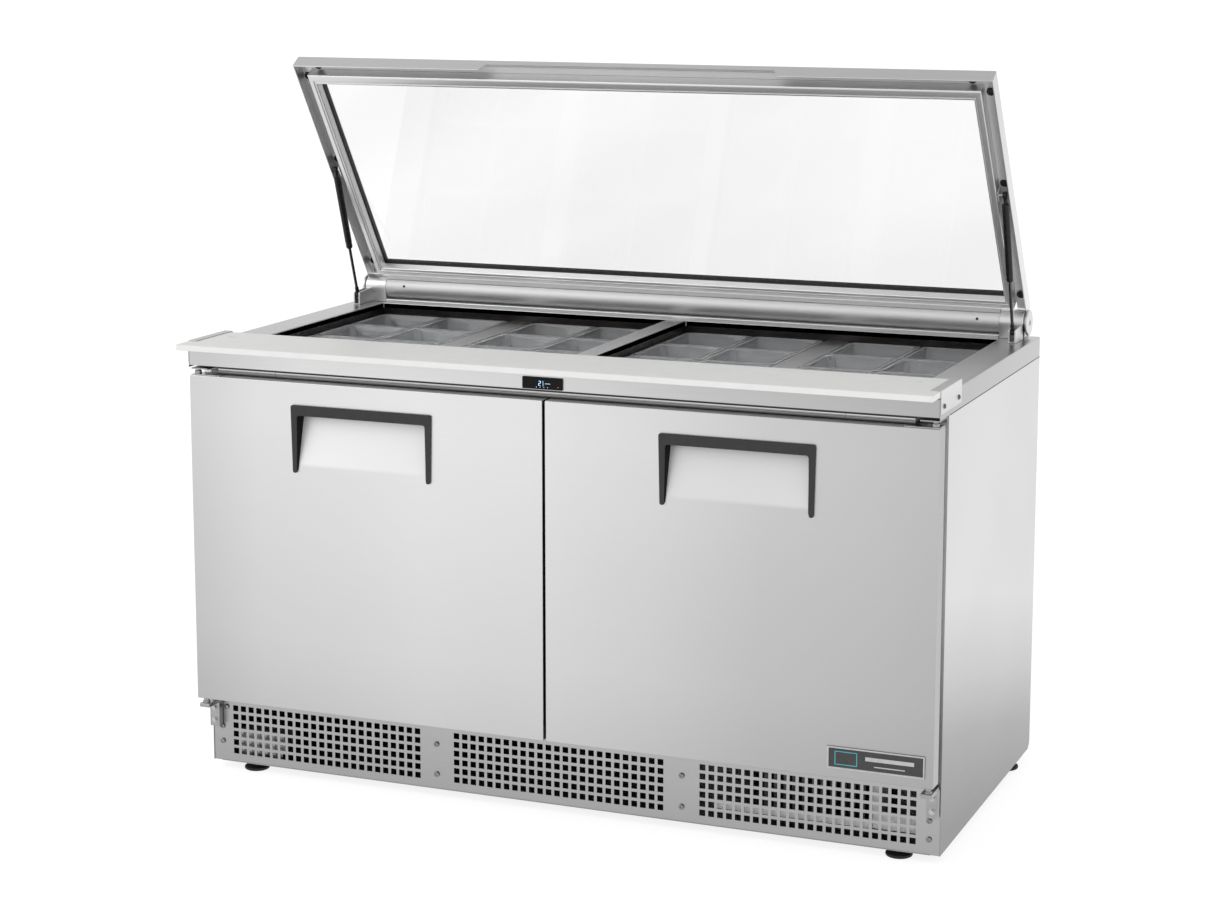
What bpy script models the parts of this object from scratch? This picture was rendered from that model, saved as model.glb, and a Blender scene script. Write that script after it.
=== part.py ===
"""Sandwich prep table: a two-door refrigerated counter with a glass lid over 24 sixth-size pans.

Metres, +Z up. X runs to the right as a person at the counter sees it, and the doors face -Y.
The origin is on the floor under the middle of the object. Every moving piece has its origin
on its joint's axis. The lid stands at its open stop, as it does in use.
"""

import math

import bmesh
import bpy
from mathutils import Matrix, Vector

# ---------------------------------------------------------------- driving dimensions
GAP = 0.0003  # clearance between pieces that touch
SHEET = 0.0015  # stainless sheet thickness

WIDTH = 1.629  # over the board rails
SHELL_HALF = 0.8133  # outside of the side panels and the worktop skirt
BACK = 0.4351  # rear face
FRONT = -0.3809  # front face of the doors, 816 mm from the rear face
FACE = -0.3168  # front face of the insulated cabinet, behind the doors

BASE = 0.018  # underside of the side panels and the grille
CABINET_BOTTOM = 0.165
DOOR_BOTTOM, DOOR_TOP = 0.1732, 0.8775
SKIRT_BOTTOM = 0.8945
DECK = 0.9371  # top of the worktop
FASCIA_BOTTOM = 0.8957
FASCIA_FRONT = -0.3817
HEADER_HALF, HEADER_FRONT, HEADER_BOTTOM = 0.758, -0.3560, 0.8790  # closed band over the doors

# wells and pans
WELL_IN, WELL_OUT = 0.0219, 0.7374  # inner and outer X of a well's opening
WELL_FRONT, WELL_BACK = -0.1720, 0.3701
WELL_WALL = 0.004
WELL_DEPTH = 0.075
LEDGE = 0.012
RIM_TOP = 0.9120  # top of the pan rims
RIM = 0.003
PAN_X, PAN_Y = 0.1625, 0.1763  # a sixth-size pan over its rim
PAN_DEPTH = 0.102
SET_MARGIN = 0.0035  # well wall to the rim of the nearest pan

# board
BOARD_HALF = 0.8125
BOARD_FRONT, BOARD_BACK = -0.4351, -0.2395
BOARD_TOP = 0.9501
RAIL_FRONT, RAIL_BACK = -0.3817, -0.2316
RAIL_IN = 0.7933
RAIL_TOP = 0.9510

# lid, in its own frame: s runs from the hinge axis to the front edge, h is up when it is closed
HINGE_Y, HINGE_Z = 0.406, 0.970
LID_OPEN = math.radians(55.9)  # above the horizontal
BARREL = 0.028
LID_HALF = 0.7914
LID_LENGTH = 0.643
LID_UNDER, LID_TOP = 0.0057, 0.0407
CHANNEL_START = 0.012
FLANGE = 0.003
RECESS_FLOOR = 0.0307
CHANNEL_WIDTH = 0.027
GLASS_HALF = 0.7435  # inner edge of the inner frame
GLASS_REAR, GLASS_FRONT = 0.0548, 0.5875
GASKET_WIDTH = 0.0055
INNER_REAR = 0.031
GRIP_HALF = 0.342
GRIP_HEIGHT = 0.020

# hinge boxes
BOX_IN, BOX_OUT = 0.7358, 0.7882
ARM_IN = 0.7712
ARM_FRONT = 0.315
ARM_TOP = 0.966
SLOT_HALF = 0.0052
PIVOT_PIN = 0.006
CAP_IN, CAP_OUT = 0.7920, 0.7970

# gas springs
STRUT_X = 0.7797
STRUT_LOW = Vector((0.0, 0.322, 0.9605))  # pivot on the arm
STRUT_S, STRUT_H = 0.344, 0.0112  # pivot on the lid, in the lid's frame
CYLINDER = 0.0082
CYLINDER_LENGTH = 0.197
ROD = 0.004
ROD_ENGAGED = 0.012
STROKE_ROOM = 0.062
STUD = 0.0027

# doors
DOOR_OUT, DOOR_IN = 0.8131, 0.0028
DOOR_BACK = -0.3360
DOOR_AXIS_X, DOOR_AXIS_Y = 0.797, -0.360
HANDLE_IN, HANDLE_OUT = 0.2474, 0.5702
HANDLE_BOTTOM, HANDLE_TOP = 0.687, 0.8303
HANDLE_BAR = 0.0220
HANDLE_LEG_TOP, HANDLE_LEG_LOW = 0.0135, 0.0080
HANDLE_PROUD = 0.005
POCKET_DEPTH = 0.028
GASKET_OUT, GASKET_IN = 0.782, 0.010
GASKET_LOW, GASKET_HIGH = 0.188, 0.868
GASKET_BAND = 0.014

# grille
GRILLE_FRONT = -0.3186
HOLE, PITCH = 0.0127, 0.01905
HOLE_ROWS = 6
HOLES_LOW = 0.0365
FIELD_COLUMNS = (24, 25, 24)
FIELD_STARTS = (-0.7638, -0.23495, 0.31295)
HOLES_PER_SLOT = (3, 5, 3)  # neighbouring holes run together in this model

# cabinet inside
OPENING_IN, OPENING_OUT = 0.030, 0.765
OPENING_LOW, OPENING_HIGH = 0.215, 0.850
INSIDE_BACK = 0.372
MULLION_BACK = -0.250
SHELF_LEVELS = (0.36, 0.56)
SHELF_FRONT, SHELF_BACK = -0.240, 0.290
SHELF_THICK = 0.008

# feet: half spacing in X, Y, radius
FRONT_FOOT = (0.723, -0.289, 0.0275)
REAR_FOOT = (0.785, 0.328, 0.0290)
FOOT_DISC = 0.010
FOOT_STEM = 0.0055
FOOT_STEM_TOP = 0.046

# machine compartment
PAN_FLOOR = 0.0198
COMPRESSOR = (0.33, 0.16)
CONDENSER_X = (0.43, 0.69)
CONDENSER_Y = (-0.255, -0.205)
FAN_X, FAN_Z = 0.56, 0.092
FAN_RADIUS = 0.050

AXIS_X = Matrix.Rotation(math.pi / 2, 4, "Y")
AXIS_Y = Matrix.Rotation(math.pi / 2, 4, "X")
LID_PIVOT = Vector((0.0, HINGE_Y, HINGE_Z))

# ---------------------------------------------------------------- materials: colour, roughness, metallic
FINISHES = {
    "stainless": ((0.62, 0.63, 0.64), 0.32, 1.0),
    "aluminium": ((0.66, 0.67, 0.68), 0.35, 1.0),
    "galvanised": ((0.55, 0.56, 0.57), 0.45, 1.0),
    "white_board": ((0.86, 0.86, 0.84), 0.55, 0.0),
    "dark_plastic": ((0.05, 0.05, 0.055), 0.45, 0.0),
    "black_rubber": ((0.02, 0.02, 0.02), 0.70, 0.0),
    "black_paint": ((0.03, 0.03, 0.03), 0.35, 0.0),
    "black_gloss": ((0.02, 0.02, 0.03), 0.15, 0.0),
    "well_liner": ((0.08, 0.07, 0.07), 0.40, 0.6),
    "clear_plastic": ((0.80, 0.82, 0.84), 0.10, 0.0),
    "clear_glass": ((0.90, 0.93, 0.92), 0.05, 0.0),
    "copper_fins": ((0.60, 0.58, 0.56), 0.40, 1.0),
    "white_liner": ((0.80, 0.81, 0.82), 0.40, 0.0),
}


def start():
    for thing in list(bpy.data.objects):
        bpy.data.objects.remove(thing, do_unlink=True)


def finish_of(name):
    found = bpy.data.materials.get(name)
    if found:
        return found
    colour, roughness, metallic = FINISHES[name]
    made = bpy.data.materials.new(name)
    made.use_nodes = True
    shader = made.node_tree.nodes["Principled BSDF"]
    shader.inputs["Base Color"].default_value = (*colour, 1.0)
    shader.inputs["Roughness"].default_value = roughness
    shader.inputs["Metallic"].default_value = metallic
    return made


# ---------------------------------------------------------------- shapes
def box(low, high):
    """A block between two corners."""
    shape = bmesh.new()
    bmesh.ops.create_cube(shape, size=1.0)
    low, high = Vector(low), Vector(high)
    size = Matrix.Diagonal((*(high - low), 1.0))
    bmesh.ops.transform(shape, matrix=Matrix.Translation((low + high) / 2) @ size, verts=shape.verts)
    return shape


def prism(outline, place, depth):
    """A flat outline extruded by a vector. place turns each 2-D point into a 3-D one."""
    shape = bmesh.new()
    ring = [shape.verts.new(place(*point)) for point in outline]
    face = shape.faces.new(ring)
    grown = bmesh.ops.extrude_face_region(shape, geom=[face])
    moved = [v for v in grown["geom"] if isinstance(v, bmesh.types.BMVert)]
    bmesh.ops.translate(shape, verts=moved, vec=depth)
    bmesh.ops.recalc_face_normals(shape, faces=shape.faces)
    return shape


def cylinder(centre, radius, length, turn=None, sides=32):
    """A closed cylinder about its centre, along Z unless it is turned."""
    shape = bmesh.new()
    bmesh.ops.create_cone(
        shape, cap_ends=True, segments=sides, radius1=radius, radius2=radius, depth=length
    )
    matrix = Matrix.Translation(centre) @ (turn or Matrix.Identity(4))
    bmesh.ops.transform(shape, matrix=matrix, verts=shape.verts)
    return shape


def joined(shapes):
    """Several shapes as one mesh, for a cutter."""
    whole = bmesh.new()
    for shape in shapes:
        part = bpy.data.meshes.new("part")
        shape.to_mesh(part)
        shape.free()
        whole.from_mesh(part)
        bpy.data.meshes.remove(part)
    return whole


def ring_frame(outer, inner, profile_low, profile_high, place):
    """A rectangular frame between two rectangles (x0, y0, x1, y1) with a flat section."""
    shape = bmesh.new()
    loops = []
    for rectangle in (outer, inner):
        x0, y0, x1, y1 = rectangle
        corners = ((x0, y0), (x1, y0), (x1, y1), (x0, y1))
        for level in (profile_low, profile_high):
            loops.append([shape.verts.new(place(x, y, level)) for x, y in corners])
    outer_low, outer_high, inner_low, inner_high = loops
    for i in range(4):
        k = (i + 1) % 4
        shape.faces.new((outer_low[i], outer_low[k], outer_high[k], outer_high[i]))
        shape.faces.new((inner_low[k], inner_low[i], inner_high[i], inner_high[k]))
        shape.faces.new((outer_low[k], outer_low[i], inner_low[i], inner_low[k]))
        shape.faces.new((outer_high[i], outer_high[k], inner_high[k], inner_high[i]))
    bmesh.ops.recalc_face_normals(shape, faces=shape.faces)
    return shape


def place_object(name, shape, pivot=(0.0, 0.0, 0.0), turn=0.0):
    """Makes an object whose origin is at the pivot, turned about X by an angle."""
    pivot = Vector(pivot)
    back = Matrix.Translation(pivot) @ Matrix.Rotation(turn, 4, "X")
    bmesh.ops.transform(shape, matrix=back.inverted(), verts=shape.verts)
    mesh = bpy.data.meshes.new(name)
    shape.to_mesh(mesh)
    shape.free()
    thing = bpy.data.objects.new(name, mesh)
    thing.location = pivot
    thing.rotation_euler = (turn, 0.0, 0.0)
    bpy.context.scene.collection.objects.link(thing)
    return thing


def solid(name, base, finish, add=(), cut=(), pivot=(0.0, 0.0, 0.0), turn=0.0, round_piece=False):
    """One node: a base shape, with others joined to it and cut from it."""
    thing = place_object(name, base, pivot, turn)
    steps = [("UNION", shape) for shape in add] + [("DIFFERENCE", shape) for shape in cut]
    for number, (operation, shape) in enumerate(steps):
        tool = place_object(f"{name}_tool_{number}", shape, pivot, turn)
        tool.hide_render = True
        tool.display_type = "WIRE"
        step = thing.modifiers.new(f"{operation.lower()}_{number}", "BOOLEAN")
        step.operation = operation
        step.solver = "EXACT"
        step.object = tool
    thing.data.materials.append(finish_of(finish))
    if round_piece:
        thing.data.shade_smooth()
        thing.data.set_sharp_from_angle(angle=math.radians(35))
    return thing


def lid_point(x, s, h):
    """A point of the lid, given in the lid's own frame, where it stands open."""
    cos, sin = math.cos(LID_OPEN), math.sin(LID_OPEN)
    return Vector((x, HINGE_Y - cos * s + sin * h, HINGE_Z + sin * s + cos * h))


def lid_box(x0, x1, s0, s1, h0, h1):
    """A block square to the lid."""
    shape = box((x0, -s1, h0), (x1, -s0, h1))
    matrix = Matrix.Translation(LID_PIVOT) @ Matrix.Rotation(-LID_OPEN, 4, "X")
    bmesh.ops.transform(shape, matrix=matrix, verts=shape.verts)
    return shape


def lid_piece(name, base, finish, add=(), cut=(), round_piece=False):
    return solid(name, base, finish, add, cut, LID_PIVOT, -LID_OPEN, round_piece)


# ---------------------------------------------------------------- cabinet
def side_panels():
    """Outer skins, bent in at the front edge and along the bottom."""
    flange = 0.018
    for side, sign in (("left", -1), ("right", 1)):
        outline = [
            (SHELL_HALF, GRILLE_FRONT),
            (SHELL_HALF, BACK),
            (SHELL_HALF - SHEET, BACK),
            (SHELL_HALF - SHEET, GRILLE_FRONT + SHEET),
            (SHELL_HALF - flange, GRILLE_FRONT + SHEET),
            (SHELL_HALF - flange, GRILLE_FRONT),
        ]
        lowest = CABINET_BOTTOM + GAP
        height = Vector((0, 0, SKIRT_BOTTOM - GAP - lowest))
        upper = prism([(sign * x, y) for x, y in outline], lambda x, y: (x, y, lowest), height)
        x0, x1 = sorted((sign * (SHELL_HALF - SHEET), sign * SHELL_HALF))
        skin = box((x0, GRILLE_FRONT + SHEET + GAP, BASE), (x1, BACK, lowest + 0.01))
        x0, x1 = sorted((sign * (SHELL_HALF - flange), sign * SHELL_HALF))
        lip = box((x0, GRILLE_FRONT + 0.003, BASE), (x1, BACK - 0.003, BASE + SHEET))
        solid(f"side_panel_{side}", upper, "stainless", add=[skin, lip])


def back_panel():
    """Rear skin with cooling slots for the machine compartment."""
    half = SHELL_HALF - SHEET - GAP
    skin = box((-half, BACK - SHEET, BASE + 0.0020), (half, BACK, SKIRT_BOTTOM - GAP))
    slots = [
        box((x - 0.006, BACK - 0.01, 0.045), (x + 0.006, BACK + 0.01, 0.145))
        for x in [0.02 + 0.04 * i for i in range(16)]
    ]
    solid("back_panel", skin, "galvanised", cut=[joined(slots)])


def insulated_cabinet():
    """Foamed box with two door openings, one inner room, and room for the wells above."""
    half = SHELL_HALF - SHEET - GAP
    top = DECK - SHEET - GAP
    block = box((-half, FACE, CABINET_BOTTOM), (half, BACK - SHEET - GAP, top))
    room = box(
        (-OPENING_OUT, MULLION_BACK, OPENING_LOW), (OPENING_OUT, INSIDE_BACK, OPENING_HIGH)
    )
    doorways, wells = [], []
    for sign in (-1, 1):
        x0, x1 = sorted((sign * OPENING_IN, sign * OPENING_OUT))
        doorways.append(box((x0, FACE - 0.05, OPENING_LOW), (x1, MULLION_BACK + 0.02, OPENING_HIGH)))
        inner = WELL_IN - WELL_WALL - GAP
        outer = WELL_OUT + WELL_WALL + GAP
        x0, x1 = sorted((sign * inner, sign * outer))
        wells.append(
            box(
                (x0, WELL_FRONT - WELL_WALL - GAP, OPENING_HIGH - 0.02),
                (x1, WELL_BACK + WELL_WALL + GAP, top + 0.02),
            )
        )
    solid("insulated_cabinet", block, "white_liner", cut=[room, joined(doorways), joined(wells)])


def worktop():
    """Deck sheet with skirts down its two sides and back, and two openings."""
    deck = box((-SHELL_HALF, FASCIA_FRONT, DECK - SHEET), (SHELL_HALF, BACK, DECK))
    skirts = []
    for sign in (-1, 1):
        x0, x1 = sorted((sign * (SHELL_HALF - SHEET), sign * SHELL_HALF))
        skirts.append(box((x0, FASCIA_FRONT, SKIRT_BOTTOM), (x1, BACK, DECK - SHEET / 2)))
    rear = box((-SHELL_HALF, BACK - SHEET, SKIRT_BOTTOM), (SHELL_HALF, BACK, DECK - SHEET / 2))
    openings = []
    for sign in (-1, 1):
        x0, x1 = sorted((sign * WELL_IN, sign * WELL_OUT))
        openings.append(box((x0, WELL_FRONT, DECK - 0.02), (x1, WELL_BACK, DECK + 0.02)))
    solid("worktop", deck, "stainless", add=[*skirts, rear], cut=[joined(openings)])


def front_fascia():
    """Channel across the front, with a window for the controller and a header over the doors."""
    half = SHELL_HALF - SHEET - GAP
    top = DECK - SHEET - GAP
    outer = box((-half, FASCIA_FRONT, FASCIA_BOTTOM), (half, FACE - GAP, top))
    inner = box(
        (-half + SHEET, FASCIA_FRONT + SHEET, FASCIA_BOTTOM + SHEET),
        (half - SHEET, FACE + 0.01, top - SHEET),
    )
    window = box((-0.0426, FASCIA_FRONT - 0.01, 0.9016), (0.0426, FASCIA_FRONT + 0.01, 0.9236))
    header_top = FASCIA_BOTTOM + SHEET / 2
    header = box((-HEADER_HALF, HEADER_FRONT, HEADER_BOTTOM), (HEADER_HALF, FACE - GAP, header_top))
    solid("front_fascia", outer, "stainless", cut=[inner, window], add=[header])
    bezel = box((-0.0438, FASCIA_FRONT - 0.0030, 0.9004), (0.0438, FASCIA_FRONT - GAP, 0.9248))
    body = box((-0.0420, FASCIA_FRONT - 0.0010, 0.9022), (0.0420, FASCIA_FRONT + 0.045, 0.9230))
    solid("controller", bezel, "black_gloss", add=[body])


def pan_wells():
    """Two liners hung under the deck, each with a ledge that carries the pan rims."""
    top = DECK - SHEET - GAP
    bottom = DECK - WELL_DEPTH
    for side, sign in (("left", -1), ("right", 1)):
        x0, x1 = sorted((sign * (WELL_IN - WELL_WALL), sign * (WELL_OUT + WELL_WALL)))
        i0, i1 = sorted((sign * WELL_IN, sign * WELL_OUT))
        outer = box((x0, WELL_FRONT - WELL_WALL, bottom), (x1, WELL_BACK + WELL_WALL, top))
        shaft = box((i0, WELL_FRONT, RIM_TOP - RIM - GAP), (i1, WELL_BACK, top + 0.01))
        throat = box(
            (i0 + LEDGE / 2, WELL_FRONT + LEDGE, bottom - 0.01),
            (i1 - LEDGE / 2, WELL_BACK - LEDGE, top - 0.01),
        )
        solid(f"pan_well_{side}", outer, "well_liner", cut=[shaft, throat])


def bar_span(sign):
    """Inner and outer X of the gap between a well's two groups of pans."""
    inner = WELL_IN + SET_MARGIN + 2 * PAN_X
    outer = WELL_OUT - SET_MARGIN - 2 * PAN_X
    return sorted((sign * inner, sign * outer))


def adapter_bars():
    """A flat bar from front to back between the two groups, with a step under the rims."""
    step = 0.004
    for side, sign in (("left", -1), ("right", 1)):
        x0, x1 = bar_span(sign)
        low = RIM_TOP - 0.0093
        web = box((x0 + GAP, WELL_FRONT + GAP, RIM_TOP - RIM), (x1 - GAP, WELL_BACK - GAP, RIM_TOP))
        core = box(
            (x0 + GAP, WELL_FRONT + LEDGE + GAP, low), (x1 - GAP, WELL_BACK - LEDGE - GAP, RIM_TOP)
        )
        foot = box(
            (x0 - step, WELL_FRONT + LEDGE + GAP, low),
            (x1 + step, WELL_BACK - LEDGE - GAP, RIM_TOP - RIM - GAP),
        )
        solid(f"adapter_bar_{side}", web, "stainless", add=[core, foot])


def pan_sets():
    """Four lift-out groups of six pans, two across and three deep, joined at their rims."""
    middle = (WELL_FRONT + WELL_BACK) / 2
    y0, y1 = middle - 1.5 * PAN_Y, middle + 1.5 * PAN_Y
    wall, web = 0.0028, 0.0200
    inset_x, inset_y = 0.0075, 0.0085
    for side, sign in (("left", -1), ("right", 1)):
        b0, b1 = bar_span(sign)
        w0, w1 = sorted((sign * (WELL_IN + SET_MARGIN), sign * (WELL_OUT - SET_MARGIN)))
        low_place, high_place = ("outer", "inner") if sign < 0 else ("inner", "outer")
        for place, x0, x1 in ((low_place, w0, b0), (high_place, b1, w1)):
            rims = box((x0 + GAP, y0, RIM_TOP - RIM), (x1 - GAP, y1, RIM_TOP))
            body = box(
                (x0 + inset_x, y0 + inset_y, RIM_TOP - PAN_DEPTH),
                (x1 - inset_x, y1 - inset_y, RIM_TOP - RIM / 2),
            )
            pockets = []
            width = (x1 - x0 - 2 * (inset_x + wall) - web) / 2
            depth = (y1 - y0 - 2 * (inset_y + wall) - 2 * web) / 3
            for column in range(2):
                for row in range(3):
                    px = x0 + inset_x + wall + column * (width + web)
                    py = y0 + inset_y + wall + row * (depth + web)
                    pockets.append(
                        box(
                            (px, py, RIM_TOP - PAN_DEPTH + wall),
                            (px + width, py + depth, RIM_TOP + 0.02),
                        )
                    )
            pivot = ((x0 + x1) / 2, middle, RIM_TOP)
            solid(
                f"pan_set_{side}_{place}",
                rims,
                "clear_plastic",
                add=[body],
                cut=[joined(pockets)],
                pivot=pivot,
            )


def board_and_rails():
    """White board with a full-width front, notched round the two rails that locate it."""
    back_half = RAIL_IN - 0.0008
    notch = RAIL_FRONT - 0.0005
    outline = [
        (-BOARD_HALF, BOARD_FRONT),
        (BOARD_HALF, BOARD_FRONT),
        (BOARD_HALF, notch),
        (back_half, notch),
        (back_half, BOARD_BACK),
        (-back_half, BOARD_BACK),
        (-back_half, notch),
        (-BOARD_HALF, notch),
    ]
    low = DECK + GAP
    plank = prism(outline, lambda x, y: (x, y, low), Vector((0, 0, BOARD_TOP - low)))
    solid("cutting_board", plank, "white_board", pivot=(0, BOARD_BACK, low))
    half = WIDTH / 2
    for side, sign in (("left", -1), ("right", 1)):
        outline = [
            (RAIL_IN, low),
            (SHELL_HALF + GAP, low),
            (SHELL_HALF + GAP, 0.905),
            (half, 0.905),
            (half, RAIL_TOP),
            (RAIL_IN, RAIL_TOP),
        ]
        rail = prism(
            [(sign * x, z) for x, z in outline],
            lambda x, z: (x, RAIL_FRONT, z),
            Vector((0, RAIL_BACK - RAIL_FRONT, 0)),
        )
        solid(f"board_rail_{side}", rail, "stainless")


# ---------------------------------------------------------------- grille and machine compartment
def grille():
    """Perforated front cover in three fields of square holes."""
    plate = box(
        (-SHELL_HALF, GRILLE_FRONT, BASE), (SHELL_HALF, GRILLE_FRONT + SHEET, CABINET_BOTTOM - GAP)
    )
    turned = box(
        (-SHELL_HALF + 0.02, GRILLE_FRONT, BASE), (SHELL_HALF - 0.02, GRILLE_FRONT + 0.012, BASE + SHEET)
    )
    slots = []
    for columns, start_x, run in zip(FIELD_COLUMNS, FIELD_STARTS, HOLES_PER_SLOT):
        for slot in range(columns // run):
            for row in range(HOLE_ROWS):
                x = start_x + slot * run * PITCH
                z = HOLES_LOW + row * PITCH
                width = (run - 1) * PITCH + HOLE
                slots.append(
                    box((x, GRILLE_FRONT - 0.01, z), (x + width, GRILLE_FRONT + 0.008, z + HOLE))
                )
    solid("grille", plate, "stainless", add=[turned], cut=[joined(slots)])


def feet():
    """Four adjustable feet: a disc on a threaded stem, which runs through the base pan."""
    for end, (x, y, radius) in (("front", FRONT_FOOT), ("rear", REAR_FOOT)):
        for side, sign in (("left", -1), ("right", 1)):
            centre = Vector((sign * x, y, FOOT_DISC / 2))
            disc = cylinder(centre, radius, FOOT_DISC, sides=24)
            length = FOOT_STEM_TOP - FOOT_DISC / 2
            stem_at = Vector((sign * x, y, FOOT_DISC / 2 + length / 2))
            stem = cylinder(stem_at, FOOT_STEM, length, sides=12)
            pivot = (sign * x, y, FOOT_DISC)
            solid(
                f"foot_{end}_{side}", disc, "black_rubber", add=[stem], pivot=pivot, round_piece=True
            )


def base_pan():
    """Floor of the machine compartment, drilled for the feet."""
    half = SHELL_HALF - SHEET - GAP
    floor = box(
        (-half, GRILLE_FRONT + 0.0125, PAN_FLOOR),
        (half, BACK - SHEET - GAP, PAN_FLOOR + SHEET),
    )
    holes = [
        cylinder(Vector((sign * x, y, PAN_FLOOR)), FOOT_STEM + 0.0009, 0.02, sides=12)
        for x, y, _ in (FRONT_FOOT, REAR_FOOT)
        for sign in (-1, 1)
    ]
    solid("base_pan", floor, "galvanised", cut=[joined(holes)])


def turned_body(profile, centre, sides):
    """A closed body of revolution about Z. profile runs from the top centre to the bottom centre."""
    shape = bmesh.new()
    line = [shape.verts.new((r, 0.0, z)) for r, z in profile]
    edges = [shape.edges.new((a, b)) for a, b in zip(line, line[1:])]
    bmesh.ops.spin(
        shape,
        geom=[*line, *edges],
        cent=(0, 0, 0),
        axis=(0, 0, 1),
        angle=2 * math.pi,
        steps=sides,
        use_merge=True,
    )
    bmesh.ops.remove_doubles(shape, verts=shape.verts, dist=1e-5)
    bmesh.ops.recalc_face_normals(shape, faces=shape.faces)
    bmesh.ops.translate(shape, verts=shape.verts, vec=centre)
    return shape


def fan_rotor(name, centre, radius, finish):
    """Hub with four flat blades, about an axis along Y."""
    hub = cylinder(centre, radius * 0.32, 0.016, AXIS_Y, sides=20)
    blades = []
    for blade in range(4):
        plate = box((radius * 0.2, -0.0012, -radius * 0.24), (radius, 0.0012, radius * 0.24))
        pitch = Matrix.Rotation(math.radians(25), 4, "X")
        turn = Matrix.Rotation(math.pi / 2 * blade, 4, "Y")
        matrix = Matrix.Translation(centre) @ turn @ pitch
        bmesh.ops.transform(plate, matrix=matrix, verts=plate.verts)
        blades.append(plate)
    solid(name, hub, finish, add=blades, pivot=centre, round_piece=True)


def machine_compartment():
    """Compressor, condenser with its shroud, and the condenser fan on its motor."""
    low = PAN_FLOOR + SHEET + GAP
    cx, cy = COMPRESSOR
    shell = [
        (0.0, 0.118),
        (0.045, 0.112),
        (0.068, 0.096),
        (0.076, 0.072),
        (0.076, 0.040),
        (0.066, 0.018),
        (0.040, 0.012),
        (0.0, 0.012),
    ]
    can = turned_body(shell, Vector((cx, cy, low)), 28)
    plate = box((cx - 0.095, cy - 0.060, low), (cx + 0.095, cy + 0.060, low + 0.014))
    solid("compressor", can, "black_paint", add=[plate], round_piece=True)

    x0, x1 = CONDENSER_X
    y0, y1 = CONDENSER_Y
    high = CABINET_BOTTOM - 0.006
    core = box((x0, y0, low), (x1, y1, high))
    shroud = box((x0, y1 - 0.001, low), (x1, y1 + 0.030, high))
    throat = cylinder(Vector((FAN_X, y1 + 0.020, FAN_Z)), FAN_RADIUS + 0.004, 0.042, AXIS_Y, 32)
    grooves = [
        box((x, y0 - 0.01, low + 0.006), (x + 0.008, y0 + 0.02, high - 0.006))
        for x in [x0 + 0.012 + 0.020 * i for i in range(12)]
    ]
    solid("condenser", core, "copper_fins", add=[shroud], cut=[throat, joined(grooves)])

    centre = Vector((FAN_X, y1 + 0.018, FAN_Z))
    fan_rotor("condenser_fan", centre, FAN_RADIUS, "black_paint")
    motor_at = Vector((FAN_X, y1 + 0.060, FAN_Z))
    motor = cylinder(motor_at, 0.032, 0.050, AXIS_Y, sides=24)
    post = box((FAN_X - 0.020, y1 + 0.045, low), (FAN_X + 0.020, y1 + 0.075, FAN_Z))
    solid("condenser_fan_motor", motor, "black_paint", add=[post], round_piece=True)


def evaporator():
    """Cooling coil, its fan and its cover, on the rear wall under the pans."""
    back = INSIDE_BACK - GAP
    cover = box((-0.26, 0.306, 0.625), (0.26, back, 0.795))
    hollow = box((-0.2575, 0.3085, 0.615), (0.2575, back - 0.0015, 0.7925))
    centre = Vector((0.14, 0.318, 0.712))
    mouth = cylinder(Vector((centre.x, 0.306, centre.z)), 0.058, 0.03, AXIS_Y, sides=32)
    solid("evaporator_cover", cover, "aluminium", cut=[hollow, mouth])
    coil = box((-0.245, 0.330, 0.640), (0.06, back - 0.004, 0.780))
    grooves = [
        box((x, 0.320, 0.650), (x + 0.010, 0.345, 0.770))
        for x in [-0.235 + 0.024 * i for i in range(12)]
    ]
    solid("evaporator_coil", coil, "copper_fins", cut=[joined(grooves)])
    fan_rotor("evaporator_fan", centre, 0.054, "dark_plastic")


def shelves():
    """Four slotted shelves, two behind each door."""
    for side, sign in (("left", -1), ("right", 1)):
        for level, height in zip(("lower", "upper"), SHELF_LEVELS):
            x0, x1 = sorted((sign * 0.036, sign * (OPENING_OUT - 0.003)))
            plate = box((x0, SHELF_FRONT, height), (x1, SHELF_BACK, height + SHELF_THICK))
            pitch = (x1 - x0 - 0.02) / 12
            slots = [
                box(
                    (x0 + 0.014 + pitch * i, SHELF_FRONT + 0.012, height - 0.01),
                    (x0 + 0.006 + pitch * (i + 1), SHELF_BACK - 0.012, height + 0.03),
                )
                for i in range(12)
            ]
            solid(f"shelf_{side}_{level}", plate, "stainless", cut=[joined(slots)])


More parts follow.
